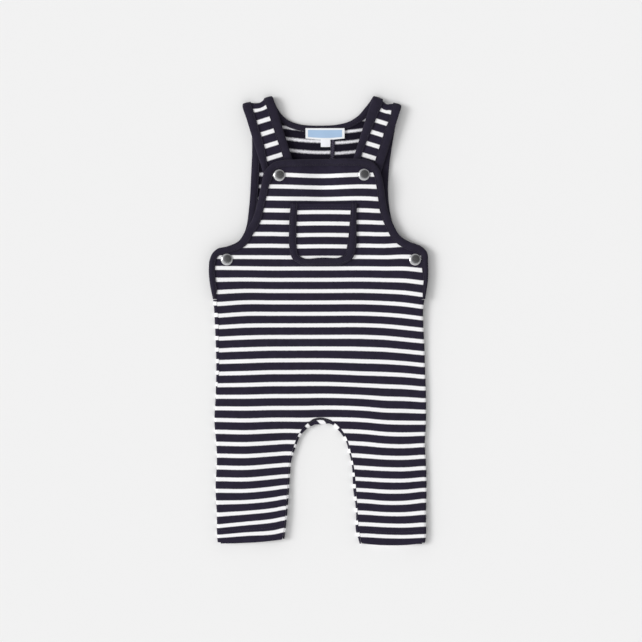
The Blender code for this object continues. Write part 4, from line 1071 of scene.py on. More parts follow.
def striped_jersey(cloth):
    """Outer face of the jersey: navy with narrow white stripes."""
    finish = Finish("jersey_outer", cloth.navy, 0.88, Specular_IOR_Level=0.12,
                    Sheen_Weight=cloth.nap, Sheen_Roughness=0.5)
    vector, across, along = finish.cloth()
    flecks = finish.noise(vector, 1500.0, 2.0, 0.7)
    navy = speckled(finish, vector, cloth.navy, flecks, fleck=2.0, share=0.35, patch=1.22,
                    patches=160.0)
    pale = finish.mix(finish.ramp(flecks, 0.3, 0.7), cloth.white, times(cloth.white, 0.97))
    white = white_share(finish, cloth, vector, along, sway=0.0004, inward=0.0005,
                        outward=0.0005)
    finish.join("Base Color", finish.mix(white, navy, pale))
    raise_knit(finish, vector, across, along, wale=0.00085, course=0.00075, depth=0.00008)


def brushed_inside(cloth):
    """Inner face of the jersey: brushed, with soft greyish stripes; its navy is darkened, down to
    half, as painted shade for insides that lie in shadow.
    """
    finish = Finish("jersey_inner", cloth.navy, 0.95, Specular_IOR_Level=0.08,
                    Sheen_Weight=cloth.nap * 0.4, Sheen_Roughness=0.6)
    vector, _, along = finish.cloth()
    tufts = finish.noise(vector, 900.0, 4.0, 0.75)
    pale = finish.mix(finish.ramp(tufts, 0.35, 0.62), (0.72, 0.71, 0.77), (0.96, 0.95, 0.98))
    # painted shade: the inside's navy runs from half its tone to a little over it with the tufts,
    # darker than the outer face, standing for the shadow inside the garment
    navy = finish.mix(finish.ramp(tufts, 0.4, 0.7), times(cloth.navy, 0.5),
                      times(cloth.navy, 1.1))
    white = white_share(finish, cloth, vector, along, sway=0.0022, inward=0.0015,
                        outward=0.0005, detail=4.0, roughness=0.75)
    finish.join("Base Color", finish.mix(white, navy, pale))
    finish.bump(finish.noise(vector, 1300.0, 5.0, 0.75), 0.0004, 0.8)


def navy_tape(trim):
    """Navy rib tape."""
    finish = Finish("tape_rib", trim.tape, 0.86, Specular_IOR_Level=0.14,
                    Sheen_Weight=0.08, Sheen_Roughness=0.5)
    vector, around, along = finish.cloth()
    flecks = finish.noise(vector, 1700.0, 2.0, 0.7)
    navy = speckled(finish, vector, trim.tape, flecks, fleck=1.9, share=0.3, patch=1.2,
                    patches=180.0)
    finish.join("Base Color", navy)
    raise_knit(finish, vector, around, along, wale=0.0009, course=0.0008, depth=0.00009)


def thread(name, colour):
    """Twisted sewing thread."""
    finish = Finish(name, colour, 0.6, Specular_IOR_Level=0.3, Sheen_Weight=0.1)
    place = finish.node("TexCoord").outputs["Object"]
    shade = finish.noise(place, 2200.0, 2.0)
    finish.join("Base Color", finish.mix(shade, times(colour, 0.8), times(colour, 1.25)))
    finish.bump(finish.noise(place, 5200.0, 1.0), 0.0001, 0.6)


def woven_label(trim):
    """Bare woven label: a pale blue field inside a white border."""
    finish = Finish("label_woven", trim.label, 0.5, Specular_IOR_Level=0.35,
                    Sheen_Weight=0.08, Sheen_Roughness=0.4)
    _, *ways = finish.cloth()
    inner = []
    for way, middle, size, border in zip(ways, LABEL_AT, LABEL_SIZE, LABEL_BORDER):
        away = finish.maths("ABSOLUTE", finish.maths("SUBTRACT", way, middle * MM))
        edge = (size / 2 - border) * MM
        inner.append(finish.ramp(away, edge - 0.0002, edge + 0.0002, 1.0, 0.0))
    across, along = ways
    yarns = finish.maths("ADD", finish.maths("PINGPONG", along, 0.00014),
                         finish.maths("PINGPONG", across, 0.00022))
    weave = finish.maths("MULTIPLY", yarns, 2700.0)
    blue = finish.mix(weave, times(trim.label, 0.9), trim.label)
    white = finish.mix(weave, (0.80, 0.82, 0.85), (0.93, 0.94, 0.95))
    finish.join("Base Color", finish.mix(finish.maths("MULTIPLY", *inner), white, blue))
    finish.bump(weave, 0.00006, 0.7)


def white_tag():
    """Bare white satin tag."""
    finish = Finish("tag_satin", (0.9, 0.91, 0.92), 0.42, Specular_IOR_Level=0.4)
    along = finish.cloth()[2]
    weft = finish.maths("MULTIPLY", finish.maths("PINGPONG", along, 0.00016), 6000.0)
    finish.join("Base Color", finish.mix(weft, (0.89, 0.88, 0.95), (0.96, 0.95, 1.0)))
    finish.bump(weft, 0.00005, 0.6)


def snap_metal(trim, name, middle):
    """Brushed nickel, with fine rings round the snap's middle and a few scuffs."""
    finish = Finish("nickel_" + name, trim.metal, 0.25, Metallic=1.0)
    place = finish.node("TexCoord").outputs["Object"]
    at = [-(value - base) * MM for value, base in zip(middle, ORIGIN)]
    centred = finish.node("Mapping", {"Vector": place, "Location": (*at, 0.0)}).outputs[0]
    parts = finish.node("SeparateXYZ", {0: centred}).outputs
    flat = finish.node("CombineXYZ", {0: parts[0], 1: parts[1]}).outputs[0]
    radius = finish.node("VectorMath", {0: flat}, operation="LENGTH").outputs["Value"]
    rings = finish.noise(finish.node("CombineXYZ", {0: radius}).outputs[0], 9000.0, 2.0)
    scuffs = finish.ramp(finish.noise(centred, 1400.0, 3.0), 0.35, 0.75)
    finish.join("Base Color", finish.mix(scuffs, trim.metal, times(trim.metal, 0.78)))
    finish.join("Roughness", finish.ramp(rings, 0.3, 0.7, 0.17, 0.23))
    finish.bump(rings, 0.00001, 0.4)
    return finish.material


def pale_floor(stage):
    """Matt paper-white floor."""
    finish = Finish("floor_paper", stage.floor, 0.95, Specular_IOR_Level=0.0)
    shade = finish.noise(finish.node("TexCoord").outputs["Object"], 30.0, 2.0)
    finish.join("Base Color", finish.mix(shade, times(stage.floor, 0.995), stage.floor))
    return finish.material


def materials():
    """The garment's materials, made once."""
    made = bpy.data.materials
    settings = bpy.context.scene
    if "jersey_outer" not in made:
        striped_jersey(settings.dungarees_cloth)
        brushed_inside(settings.dungarees_cloth)
        navy_tape(settings.dungarees_trim)
        thread("thread_navy", settings.dungarees_trim.thread)
        thread("thread_grey", settings.dungarees_trim.overlock)
        thread("thread_white", (0.85, 0.86, 0.87))
        woven_label(settings.dungarees_trim)
        white_tag()
    return made


# ---- sewing
def sewing_tree(name):
    """Geometry nodes that lay stitches along a path, or wind one thread along it."""
    tree = bpy.data.node_groups.new(name, "GeometryNodeTree")
    stitched = name == "stitch_row"
    sockets = [("Geometry", "Geometry", "INPUT")]
    for length in ("Spacing", "Length", "Thickness") if stitched else ("Thickness",):
        sockets.append((length, "Float", "INPUT"))
    sockets += [("Thread", "Material", "INPUT"), ("Geometry", "Geometry", "OUTPUT")]
    for socket, kind, way in sockets:
        made = tree.interface.new_socket(socket, in_out=way, socket_type="NodeSocket" + kind)
        if kind == "Float":
            made.subtype = "DISTANCE"

    def add(kind, inputs, **settings):
        return add_node(tree, kind, inputs, **settings).outputs

    start = add("NodeGroupInput", {})
    thick = start["Thickness"]
    curve = add("GeometryNodeMeshToCurve", {"Mesh": start["Geometry"]})[0]
    if stitched:
        points = add("GeometryNodeCurveToPoints", {"Curve": curve, "Length": start["Spacing"]},
                     mode="LENGTH")
        ball = add("GeometryNodeMeshUVSphere", {"Segments": 6, "Rings": 5, "Radius": 0.5})
        size = add("ShaderNodeCombineXYZ", {0: thick, 1: thick, 2: start["Length"]})[0]
        sewing = add("GeometryNodeInstanceOnPoints", {
            "Points": points["Points"], "Rotation": points["Rotation"],
            "Instance": ball["Mesh"], "Scale": size})[0]
    else:
        half = add("ShaderNodeMath", {0: thick, 1: 2.0}, operation="DIVIDE")[0]
        ring = add("GeometryNodeCurvePrimitiveCircle", {"Resolution": 5, "Radius": half})[0]
        sewing = add("GeometryNodeCurveToMesh", {
            "Curve": curve, "Profile Curve": ring, "Fill Caps": True})[0]
    sewing = add("GeometryNodeRealizeInstances", {0: sewing})[0]
    sewing = add("GeometryNodeSetShadeSmooth", {"Geometry": sewing})[0]
    sewing = add("GeometryNodeSetMaterial", {"Geometry": sewing, "Material": start["Thread"]})[0]
    add("NodeGroupOutput", {0: sewing})
    return tree


def sewn(name, paths, tree_name, **inputs):
    """A piece of sewing: runs a node tree over paths given in laid millimetres."""
    tree = bpy.data.node_groups.get(tree_name) or sewing_tree(tree_name)
    spots = []
    edges = []
    for path in paths:
        first = len(spots)
        spots += [tuple((np.array(spot) - ORIGIN) * MM) for spot in path]
        edges += [(i, i + 1) for i in range(first, len(spots) - 1)]
    mesh = bpy.data.meshes.new(name)
    mesh.from_pydata(spots, edges, [])
    piece = bpy.data.objects.new(name, mesh)
    bpy.context.scene.collection.objects.link(piece)
    rows = piece.modifiers.new("sewing", "NODES")
    rows.node_group = tree
    for socket in tree.interface.items_tree:
        if socket.in_out == "INPUT" and socket.name in inputs:
            rows[socket.identifier] = inputs[socket.name]
    ready = piece.evaluated_get(bpy.context.evaluated_depsgraph_get())
    made = bpy.data.meshes.new_from_object(ready)
    piece.modifiers.clear()
    piece.data = made
    made.name = name
    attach(piece, "root")
    return piece


def stitches(name, paths, colour="thread_navy"):
    """Rows of lock stitches along paths."""
    trim = bpy.context.scene.dungarees_trim
    return sewn(name, paths, "stitch_row", Spacing=trim.stitch_spacing,
                Length=trim.stitch_length, Thickness=trim.stitch_thickness,
                Thread=materials()[colour])


def hem_path(side, place, level):
    """Path of the stitches of a leg's hem on one panel."""
    across = np.linspace(*HEMS[side]["sewn"], SEWN_STATIONS)
    return place(across, hem_line(across) + HEM_STITCH, level)


# ---- tapes
def tape_section(width, crown_over, crown_under):
    """Section of a tape folded round an edge: distance in from the fold, and height. Its edge
    is turned under, its stitches pull it down, and it puffs up between them and the fold."""
    def side(crown):
        sew = max(width - TAPE_SEW, 0.8)
        rows = [(width - part * TAPE_SEW * 0.8,
                 BOUND - TAPE + 0.35 + 0.65 * math.sqrt(part / 0.45))
                for part in (0.0, 0.06, 0.18, 0.45)]
        rows += [(sew + 0.25, BOUND - TAPE_DENT * 0.5), (sew, BOUND - TAPE_DENT),
                 (sew - 0.35, BOUND - TAPE_DENT * 0.4)]
        rows += [(max(sew * part, 1.9), BOUND + crown * math.sin(math.pi * (1 - part) * 1.15))
                 for part in (0.82, 0.66, 0.5, 0.36)]
        turns = [part * math.pi / 2 for part in (0.9, 0.7, 0.5, 0.3, 0.12)]
        rows += [(1.8 - 1.8 * math.cos(turn), BOUND * (0.12 + 0.88 * math.sin(turn)))
                 for turn in turns]
        return rows

    under = [(d, -w) for d, w in side(crown_under)[::-1]]
    inner = [(width, TAPE - BOUND), (TAPE_NOSE + 0.3, TAPE - BOUND), (TAPE_NOSE, 0.0),
             (TAPE_NOSE + 0.3, BOUND - TAPE), (width, BOUND - TAPE)]
    return np.array(side(crown_over) + under + inner)


def binding(name, points, normals, sections, middling, place):
    """Tape with a section at each station of an edge; a middling one measures it round."""
    rings = np.array([np.column_stack([point + np.outer(section[:, 0], normal), section[:, 1]])
                      for point, normal, section in zip(points[:, :2], normals, sections)])
    laid = place(*(rings[..., i].ravel() for i in range(3))).reshape(rings.shape)
    return sweep(name + "_tape", laid, run_of(points), run_of(middling), ["tape_rib"],
                 "tape_navy", name)


def bind_edge(name, edge, widths, place, folded=0.0, faces=(1,)):
    """Folds tape round an edge and sews it on the given faces. It puffs on the side that faces
    up, which is the lower one where the cloth is folded over."""
    points, normals = edge
    run = run_of(points)
    keep = widths > TAPE_NARROW
    wander = TAPE_WANDER * np.sin(run / 7.3) * np.sin(run / 17.1 + 1.0) * keep
    puff = TAPE_CROWN * (1 + 0.5 * np.sin(run / 5.1) * np.sin(run / 13.7))
    sections = [tape_section(*row)
                for row in zip(widths + wander, puff * (1 - folded), puff * folded)]
    middling = tape_section(float(np.median(widths)), 0, 0)
    piece = binding(name, points, normals, sections, middling, place)
    spots = moved(points[keep], normals[keep], widths[keep] - TAPE_SEW)
    paths = [place(*spots.T, face * TAPE_SEWN) for face in faces]
    sewing = stitches(name + "_stitches", paths)
    declare_tape(points, widths)


def tape_width(points, tape):
    """Width of a tape at the stations of its edge."""
    along, width = np.array(TAPE_WIDTHS[tape]).T
    return np.interp(points[:, 1], along, width)


def two_widths(points, tape):
    """Width of a tape that differs a little between its two sides."""
    return np.where(points[:, 0] < 0, tape_width(points, tape + "_left"),
                    tape_width(points, tape + "_right"))


def declare_tape(points, widths):
    """Works out the size of a tape as a sheet, twice its folded width and the nose by its length,
    and does nothing with it.
    """
    length = run_of(points)[-1]
    width = 2 * float(np.mean(widths)) + math.pi * TAPE_NOSE


# ---- settings
def colour_field(name, text, default):
    """A colour that can be set."""
    return bpy.props.FloatVectorProperty(name=name, description=text, subtype="COLOR",
                                         default=default, min=0, max=1)


def length_field(name, text, default, least):
    """A length that can be set."""
    return bpy.props.FloatProperty(name=name, description=text, unit="LENGTH",
                                   default=default, min=least)


def amount_field(name, text, default, most=10):
    """An amount that can be set."""
    return bpy.props.FloatProperty(name=name, description=text, default=default, min=0, max=most)


class DungareesCloth(bpy.types.PropertyGroup):
    """Colours and stripes of the jersey"""
    navy: colour_field("Navy", "Ground colour of the jersey", (0.0158, 0.0127, 0.0261))
    white: colour_field("White", "Colour of the stripes", (0.922, 0.917, 0.932))
    repeat: length_field("Stripe repeat", "From one white stripe to the next", REPEAT * MM,
                         0.002)
    white_width: length_field("White width", "Width of a white stripe", 0.00405, 0.0005)
    nap: amount_field("Nap", "Sheen of the fine fibres", 0.07, 1)


class DungareesTrim(bpy.types.PropertyGroup):
    """Colours of the trimmings, and sizes of the stitches"""
    tape: colour_field("Tape", "Colour of the binding tape", (0.0148, 0.0121, 0.0238))
    thread: colour_field("Thread", "Colour of the sewing thread", (0.016, 0.014, 0.024))
    overlock: colour_field("Overlock thread", "Colour of the seam's overlock thread",
                           (0.16, 0.14, 0.20))
    label: colour_field("Label", "Field of the neck label", (0.40, 0.56, 0.775))
    metal: colour_field("Snaps", "Colour of the snaps", (0.48, 0.48, 0.495))
    stitch_spacing: length_field("Stitch spacing", "From one stitch to the next", 0.0027, 0.001)
    stitch_length: length_field("Stitch length", "Length of a stitch", 0.0023, 0.0005)
    stitch_thickness: length_field("Thread thickness", "Thickness of the sewing thread",
                                   0.0004, 0.0001)


class DungareesStage(bpy.types.PropertyGroup):
    """Floor, lights and camera"""
    floor: colour_field("Floor", "Colour of the floor", (0.86, 0.86, 0.86))
    key: amount_field("Key light", "Strength of the light from the left", 1.7)
    fill: amount_field("Fill light", "Strength of the light from all round", 0.843)
    sky_lean: bpy.props.FloatVectorProperty(
        name="Fill lean", description="Where the fill light grows, and how much",
        subtype="XYZ", default=(-0.4, -0.35, -0.45))
    overhead: amount_field("Fill overhead", "Share of the fill light left round the camera",
                           0.2, 1)
    camera_height: length_field("Camera height", "Camera above the floor", CAMERA_HEIGHT, 0.5)


# ---- operators
class MakeFront(bpy.types.Operator):
    """Cuts and lays the front, with its hem stitches"""
    bl_idname = "dungarees.make_front"
    bl_label = "Front"

    def execute(self, context):
        points, normals = stations(BIB_LINE)
        seam, seam_normals = inseam_stations()
        left, left_rows = side_rows("left", "front")
        right, right_rows = side_rows("right", "front")
        right_flap, right_hem_rows = hem_flap("right", seam[0, 0])
        left_flap, left_hem_rows = hem_flap("left", seam[-1, 0])
        outline = np.vstack([
            left, clip("left"), moved(points, normals, RAW_EDGE), clip("right")[::-1],
            right[::-1], right_flap, seam[:, :2], left_flap,
        ])
        rows = np.vstack([left_rows, right_rows, right_hem_rows, left_hem_rows,
                          moved(seam, seam_normals, SEAM_ROW)[2:-2]])
        piece = panel("front", outline, thin(rows, outline), front_place, front_stripes)
        paths = [hem_path(side, front_place, HALF) for side in SIGNS]
        hems = stitches("front_hem_stitches", paths)
        return {"FINISHED"}


class MakeBacks(bpy.types.Operator):
    """Cuts and lays both back panels with their straps"""
    bl_idname = "dungarees.make_backs"
    bl_label = "Backs and straps"

    def execute(self, context):
        for side in SIGNS:
            outline, rows = self.cut(side)
            piece = panel("back_" + side, outline, rows, back_place, back_stripes, JERSEY[::-1])
            path = hem_path(side, back_place, -HALF + 0.1)
            with_pieces = [stitches(f"back_{side}_hem_stitches", [path])]
            if side == "right":
                with_pieces += ["back_seam_allowance_cloth", "back_seam_overlock"]
        return {"FINISHED"}

    @staticmethod
    def cut(side):
        """Outline and rows of one half of the back."""
        neck, neck_normals, middle = neck_stations()
        neck = moved(neck, neck_normals, RAW_EDGE)
        arm = moved(*arm_stations(side), RAW_EDGE)
        seam, seam_normals = inseam_stations()
        top, bottom = np.array(BACK_SEAM)
        apex = int(np.argmin(np.hypot(*(seam[:, :2] - bottom).T)))
        edge, edge_rows = side_rows(side, "back")
        shares = np.linspace(1, 0, SEAM_STATIONS)[1:-1]
        apart = (SIGNS[side] * GAP / 2, 0)
        centre = bottom + np.outer(shares, top - bottom) + apart
        if side == "left":
            neck = neck[:middle]
            neck[-1] += apart
            leg = seam[apex:, :2].copy()
            leg[0] += apart
            flap, flap_rows = hem_flap(side, seam[-1, 0])
            outline = [edge, clip(side), arm, neck, centre, leg, flap]
        else:
            neck = neck[middle - 1:]
            neck[0] += apart
            leg = seam[:apex + 1, :2].copy()
            leg[-1] += apart
            flap, flap_rows = hem_flap(side, seam[0, 0])
            outline = [neck, arm, clip(side)[::-1], edge[::-1], flap, leg, centre[::-1]]
        outline = np.vstack(outline)
        rows = [edge_rows, flap_rows, fold_rows(side), moved(seam, seam_normals, SEAM_ROW)[2:-2]]
        return outline, thin(np.vstack(rows), outline)


class MakeInseam(bpy.types.Operator):
    """Lays the strip between the front and back of the inner legs"""
    bl_idname = "dungarees.make_inseam"
    bl_label = "Inseam strip"

    def execute(self, context):
        seam, normals = inseam_stations()
        number = numbers_at(run_of(seam), STRIP_STRIPES)
        ends = seam[[0, -1]] + (seam[[0, -1]] - seam[[1, -2]]) * (HALF + HEM_FOLD) / STEP
        seam = np.vstack([ends[:1], seam, ends[1:]])
        normals = np.vstack([normals[:1], normals, normals[-1:]])
        number = np.concatenate([number[:1] - 0.1, number, number[-1:] + 0.1])
        high = front_height(seam[:, 0], seam[:, 1])
        low = back_height(seam[:, 0], seam[:, 1])
        rings = []
        for (u, v, reach), normal, top, bottom in zip(seam, normals, high, low):
            radius = (top - bottom) / 2
            bulge = min(reach, radius)
            straight = GAP + 0.15 + max(reach - bulge, 0)
            angle = np.linspace(math.pi / 2, -math.pi / 2, STRIP_STATIONS)
            round_it = np.column_stack([np.cos(angle), np.sin(angle)])
            lean = round_it / (bulge, radius)
            lean /= np.linalg.norm(lean, axis=1)[:, None]
            path = np.vstack([(GAP, radius), (straight, 0) + round_it * (bulge, radius),
                              (GAP, -radius)])
            lean = np.vstack([(0, HALF), lean * HALF, (0, -HALF)])
            run_of(path)[-1]
            section = np.vstack([path + lean, (path - lean)[::-1]])
            spots = (u, v) - np.outer(section[:, 0], normal)
            rings.append(np.column_stack([spots, (top + bottom) / 2 + section[:, 1]]))
        rings = np.array(rings)
        around = run_of(rings[len(rings) // 2][:, 1:])
        lean = STRIP_LEAN * ease(np.abs(seam[:, 0] - STRIP_LEAN_AT), *STRIP_LEAN_FADES)
        piece = sweep("inseam_strip_cloth", rings, number * REPEAT, around, JERSEY,
                      "jersey_striped", "inseam_strip", STRIP_STATIONS + 2, lean)
        run = run_of(seam)
        self.overlock(seam, normals, run)
        return {"FINISHED"}

    @staticmethod
    def overlock(seam, normals, run):
        """Close overlock stitches over the front's raw edge at the top of the arch. Their dark
        line is partly painted shade: it also stands for the seam's shadow there.
        """
        arch = run[(seam[:, 0] > ARCH_SEWN[0]) & (seam[:, 0] < ARCH_SEWN[1])]
        at = np.arange(arch[0], arch[-1], ARCH_STEP)
        u, v, x, y = (np.interp(at, run, column) for column in (*seam[:, :2].T, *normals.T))
        turn = 2 * math.pi * at / ARCH_PITCH
        out = ARCH_LOOP[0] + ARCH_LOOP[1] * np.sin(turn)
        high = front_height(u, v) + HALF + ARCH_RISE[0] + ARCH_RISE[1] * np.sin(2 * turn)
        path = np.column_stack([u - x * out, v - y * out, high])
        return sewn("inseam_overlock", [path], "thread_line", Thickness=ARCH_THREAD,
                    Thread=materials()["thread_navy"])


class MakeBindings(bpy.types.Operator):
    """Folds tape round the bib, the neck and the armholes, and sews it"""
    bl_idname = "dungarees.make_bindings"
    bl_label = "Bindings"

    def execute(self, context):
        edge = stations(BIB_LINE)
        bind_edge("bib_binding", edge, two_widths(edge[0], "bib"), front_place)
        neck = neck_stations()[:2]
        self.bind_back("neck_binding", neck, two_widths(neck[0], "neck"))
        for side in SIGNS:
            arm = arm_stations(side)
            self.bind_back("armhole_binding_" + side, arm, tape_width(arm[0], "arm_" + side))
        return {"FINISHED"}

    @staticmethod
    def bind_back(name, edge, widths):
        """Binds an edge of the back, which is folded over past the shoulders."""
        u, v = edge[0][:, :2].T
        folded = np.zeros(len(u))
        for side, sign in SIGNS.items():
            past = past_fold(u, v, side)
            folded = np.maximum(folded, (1 - ease(past, 0.0, TAPE_FOLDED)) * (sign * u > 0))
        bind_edge(name, edge, widths, back_place, folded, (1, -1))


class MakePocket(bpy.types.Operator):
    """Makes the pocket patch and the tape round its U"""
    bl_idname = "dungarees.make_pocket"
    bl_label = "Pocket"

    def execute(self, context):
        points, normals = stations(POCKET_LINE)
        outline = moved(points, normals, RAW_EDGE)
        last = outline[-1]
        mouth = last + np.outer(np.linspace(0, 1, MOUTH_STATIONS)[1:-1], outline[0] - last)
        outline = np.vstack([outline, mouth])
        patch = panel("pocket", outline, outline[:0], pocket_place, pocket_stripes)
        shares = np.linspace(*POCKET_SEWN, SEWN_STATIONS)
        spots = last + np.outer(shares, points[0, :2] - points[-1, :2])
        hem = pocket_place(spots[:, 0], spots[:, 1] - POCKET_HEM, HALF)
        mouth_sewing = stitches("pocket_mouth_stitches", [hem])
        share, width = np.array(POCKET_WIDTHS).T
        widths = np.interp(np.linspace(0, 1, len(points)), share, width)
        puffs = TAPE_CROWN * (1 + 0.5 * np.sin(run_of(points) / 6.1))
        sections = [self.section(*row) for row in zip(widths, puffs)]
        middling = self.section(float(np.median(widths)), 0.0)
        tape = binding("pocket_binding", points, normals, sections, middling, pocket_place)
        paths = [pocket_place(*moved(points, normals, inward).T, TAPE_SEWN)
                 for inward in (POCKET_SEW, widths - TAPE_SEW)]
        sewing = stitches("pocket_binding_stitches", paths)
        declare_tape(points, widths / 2 - 0.5)
        return {"FINISHED"}

    @staticmethod
    def section(width, puff):
        """Section of the pocket's tape: distance in from its outer edge, and height."""
        sew = width - TAPE_SEW
        crown = sew - POCKET_SEW - 0.4
        over = (
            # distance in from its outer edge, height against the outside of a bound edge
            (width, 0.4 - TAPE), (width - 0.1, -0.25), (width - 0.4, 0.0),
            (sew + 0.25, TAPE_DENT * -0.5), (sew, -TAPE_DENT),
            (sew - 0.1 * crown, TAPE_DENT * -0.3), (sew - 0.35 * crown, puff * 0.8),
            (sew - 0.6 * crown, puff),
            (sew - 0.8 * crown, puff * 0.7), (sew - crown, TAPE_DENT * -0.3),
            (POCKET_SEW, -TAPE_DENT), (1.25, TAPE_DENT * -0.6), (0.8, -0.2), (0.4, -0.5),
            (0.1, -1.0),
        )
        under = [(0.0, 0.2), (0.0, -HALF), (TAPE_NOSE, -HALF), (TAPE_NOSE, BOUND - TAPE),
                 (width, BOUND - TAPE)]
        return np.array([(inward, BOUND + up) for inward, up in over] + under)


class MakeLabels(bpy.types.Operator):
    """Sews in the bare neck label and the bare size tag"""
    bl_idname = "dungarees.make_labels"
    bl_label = "Labels"

    def execute(self, context):
        tag = self.label("size_tag", TAG_SIZE, TAG_AT, "tag_satin", "tag_white", 0.0)[0]
        label, outline, lay = self.label("neck_label", LABEL_SIZE, LABEL_AT, "label_woven",
                                         "label_blue", LABEL_BOW)
        inward, short = LABEL_SEW
        (x, y), (wide, high) = LABEL_AT, LABEL_SIZE
        count = LABEL_STATIONS[0]
        up = np.linspace(y - high / 2 + short, y + high / 2 - short, count)
        ends = [lay(np.full(count, x + sign * (wide / 2 - inward)), up, LABEL_WALL / 2)
                for sign in SIGNS.values()]
        sewing = stitches("neck_label_stitches", ends, "thread_white")
        return {"FINISHED"}

    @staticmethod
    def label(name, size, at, look, slot, bow):
        """A bare label, with its outline and the way that it is laid."""
        wide, high = size
        across = np.linspace(-wide / 2, wide / 2, max(LABEL_STATIONS[1], round(wide) + 1))
        up = np.linspace(-high / 2, high / 2, LABEL_STATIONS[1])
        rim = [(x, up[-1]) for x in across] + [(across[-1], y) for y in up[-2:0:-1]]
        rim += [(x, up[0]) for x in across[::-1]] + [(across[0], y) for y in up[1:-1]]
        rows = [(x, y) for x in across[1:-1] for y in up[1:-1]]

        def lay(u, v, w):
            """Adds the label's own bow and ripple to where it lies."""
            share = np.clip((at[1] + high / 2 - v) / high, 0, 1)
            laid = label_place(u, v, w)
            laid[..., 1] -= bow * np.cos((u - at[0]) / wide * math.pi) * share
            ripple = LABEL_RIPPLE * np.sin(u / LABEL_RIPPLE_RUN)
            laid[..., 2] += (ripple + LABEL_LIFT) * share
            return laid

        outline = np.array(rim) + at
        piece = panel(name, outline, np.array(rows) + at, lay, plain, [look], slot,
                      wall=LABEL_WALL, spacing=None)
        return piece, outline, lay


class MakeBackSeam(bpy.types.Operator):
    """Lays the overlocked allowance of the centre back seam inside the yoke"""
    bl_idname = "dungarees.make_back_seam"
    bl_label = "Centre back seam"

    def execute(self, context):
        top, bottom = np.array(BACK_SEAM)
        way = (bottom - top) / np.linalg.norm(bottom - top)
        side = np.array((-way[1], way[0]))

        def spots(run, out):
            return top + np.outer(run, way) + np.outer(np.broadcast_to(out, len(run)), side)

        def lay(u, v, w):
            height = back_height(u, v) + HALF + ALLOWANCE_UP
            return np.stack([u, v, height + (w + ALLOWANCE_WALL / 2) * 0.9], axis=-1)

        run = np.linspace(*ALLOWANCE_RUN, SEWN_STATIONS)
        far = spots(run, ALLOWANCE_WIDTH + 0.25 * np.sin(run / 3.1))
        outline = np.vstack([spots(run, ALLOWANCE_EDGE), far[::-1]])
        panel("back_seam_allowance", outline, outline[:0], lay, plain, ["tape_rib"], "tape_navy",
              wall=ALLOWANCE_WALL, spacing=ALLOWANCE_SPACING)
        turns = np.arange(*ALLOWANCE_RUN, ALLOWANCE_PITCH)
        near, far = ALLOWANCE_SEWN
        ends = np.where(np.arange(len(turns)) % 2, near, far)
        middle = np.full(len(turns), (near + ALLOWANCE_WIDTH) / 2)
        run = np.column_stack([turns, turns + ALLOWANCE_PITCH / 2]).ravel()
        out = np.column_stack([ends, middle]).ravel()
        level = np.where(out > ALLOWANCE_WIDTH, 0.1, 0.42)
        sewn("back_seam_overlock", [lay(*spots(run, out).T, level)], "thread_line",
             Thickness=ALLOWANCE_THREAD, Thread=materials()["thread_grey"])
        return {"FINISHED"}


class MakeSnaps(bpy.types.Operator):
    """Turns the bare snap caps and finishes the sockets and studs"""
    bl_idname = "dungarees.make_snaps"
    bl_label = "Snaps"

    def execute(self, context):
        circle = [2 * math.pi * i / SNAP_STEPS for i in range(SNAP_STEPS)]
        for name, ((x, y), _, over) in SNAPS.items():
            metal = snap_metal(context.scene.dungarees_trim, name, (x, y))
            bm = bmesh.new()
            base = over + HALF + GAP
            tilt = math.tan(math.radians(CAP_TILT[name])) * CAP_TILTED
            rings = []
            for radius, up in CAP_PROFILE[1:-1]:
                round_it = [(radius * math.cos(turn), radius * math.sin(turn)) for turn in circle]
                rings.append([bm.verts.new((x + i, y + j, base + up + tilt * j))
                              for i, j in round_it])
            for one, two in zip(rings, rings[1:]):
                for i in range(SNAP_STEPS):
                    bm.faces.new((one[i - 1], one[i], two[i], two[i - 1]))
            for ring, (_, up) in ((rings[0], CAP_PROFILE[0]), (rings[-1], CAP_PROFILE[-1])):
                middle = bm.verts.new((x, y, base + up))
                for i in range(SNAP_STEPS):
                    bm.faces.new((ring[i - 1], ring[i], middle))
            bmesh.ops.recalc_face_normals(bm, faces=bm.faces)
            finish_mesh("cap_" + name, bm, [metal.name], "snap_metal", "snap_cap_" + name)
            for kind in ("snap_stud_", "snap_socket_"):
                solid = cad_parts[kind + name].data
                solid.materials.clear()
                solid.materials.append(metal)
        return {"FINISHED"}


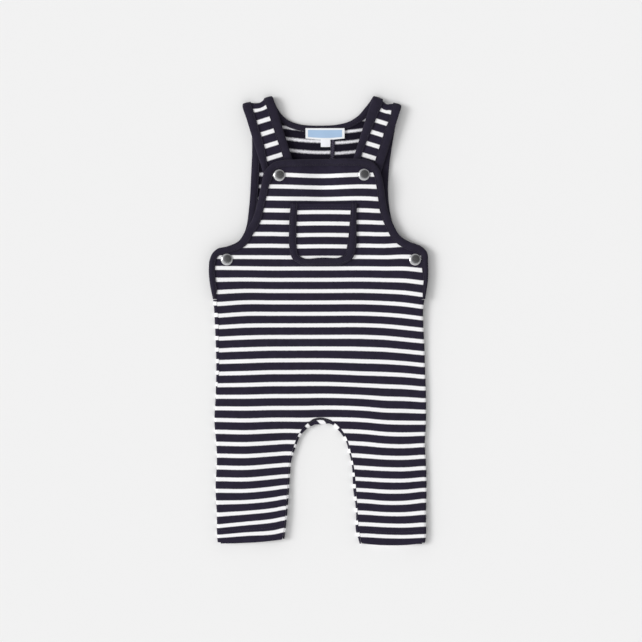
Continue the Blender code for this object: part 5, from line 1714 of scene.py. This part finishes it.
class SetStage(bpy.types.Operator):
    """Sets the pale floor, the soft light and the camera"""
    bl_idname = "dungarees.set_stage"
    bl_label = "Stage"

    def execute(self, context):
        scene = context.scene
        stage = scene.dungarees_stage
        bm = bmesh.new()
        bmesh.ops.create_grid(bm, x_segments=8, y_segments=8, size=FLOOR_REACH)
        mesh = bpy.data.meshes.new("floor")
        bm.to_mesh(mesh)
        bm.free()
        mesh.transform(Matrix.Translation((0, 0, -FLOOR_DROP)))
        mesh.materials.append(pale_floor(stage))
        floor = bpy.data.objects.new("floor", mesh)
        scene.collection.objects.link(floor)
        key = bpy.data.lights.new("key", "SUN")
        key.energy = stage.key
        key.angle = KEY_ANGLE
        light = bpy.data.objects.new("key", key)
        light.rotation_euler = Vector(KEY_WAY).to_track_quat("-Z", "Y").to_euler()
        scene.collection.objects.link(light)
        scene.world = self.sky(stage)
        camera = bpy.data.cameras.new("camera")
        camera.sensor_width = SENSOR
        camera.lens = SENSOR * stage.camera_height / FRAME_SIDE
        eye = bpy.data.objects.new("camera", camera)
        eye.location = (*CAMERA_AT, stage.camera_height + CAMERA_LEVEL)
        scene.collection.objects.link(eye)
        scene.camera = eye
        scene.view_settings.view_transform = "Standard"
        return {"FINISHED"}

    @staticmethod
    def sky(stage):
        """A white world that is brighter to one side, with a shade round the camera."""
        world = bpy.data.worlds.new("studio")
        world.use_nodes = True
        tree = world.node_tree

        def add(kind, inputs, **settings):
            return add_node(tree, "ShaderNode" + kind, inputs, **settings).outputs

        way = add("TexCoord", {})["Generated"]
        leans = [add("VectorMath", {0: way, 1: towards}, operation="DOT_PRODUCT")["Value"]
                 for towards in (stage.sky_lean, SHADED_SKY)]
        bright = add("Math", {0: leans[0], 1: stage.fill, 2: stage.fill * SKY_LEVEL},
                     operation="MULTIPLY_ADD")[0]
        left = add("MapRange", {"Value": leans[1], "From Min": OVERHEAD[0],
                                "From Max": OVERHEAD[1], "To Min": 1.0,
                                "To Max": stage.overhead}, interpolation_type="SMOOTHSTEP")[0]
        back = tree.nodes["Background"]
        back.inputs["Color"].default_value = (1, 1, 1, 1)
        tree.links.new(add("Math", {0: bright, 1: left}, operation="MULTIPLY")[0],
                       back.inputs["Strength"])
        return world


class DungareesPanel(bpy.types.Panel):
    """Settings and makers of the dungarees"""
    bl_idname = "VIEW3D_PT_dungarees"
    bl_label = "Dungarees"
    bl_space_type = "VIEW_3D"
    bl_region_type = "UI"
    bl_category = "Dungarees"

    def draw(self, context):
        for name, group in GROUPS.items():
            box = self.layout.box()
            for field in group.__annotations__:
                box.prop(getattr(context.scene, name), field)
        for maker in MAKERS:
            self.layout.operator(maker.bl_idname)


GROUPS = {"dungarees_cloth": DungareesCloth, "dungarees_trim": DungareesTrim,
          "dungarees_stage": DungareesStage}
MAKERS = (SetStage, MakeFront, MakeBackSeam, MakeBacks, MakeInseam, MakeBindings, MakePocket,
          MakeLabels, MakeSnaps)


def register():
    """Adds the settings, the makers and the panel."""
    for item in (*GROUPS.values(), *MAKERS, DungareesPanel):
        bpy.utils.register_class(item)
    for name, group in GROUPS.items():
        setattr(bpy.types.Scene, name, bpy.props.PointerProperty(type=group))


def unregister():
    """Takes them out again."""
    for name in GROUPS:
        delattr(bpy.types.Scene, name)
    for item in reversed((*GROUPS.values(), *MAKERS, DungareesPanel)):
        bpy.utils.unregister_class(item)


def main():
    """Makes every piece."""
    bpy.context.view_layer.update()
    register()
    for maker in MAKERS:
        group, name = maker.bl_idname.split(".")
        getattr(getattr(bpy.ops, group), name)()


if __name__ == "__main__":
    main()
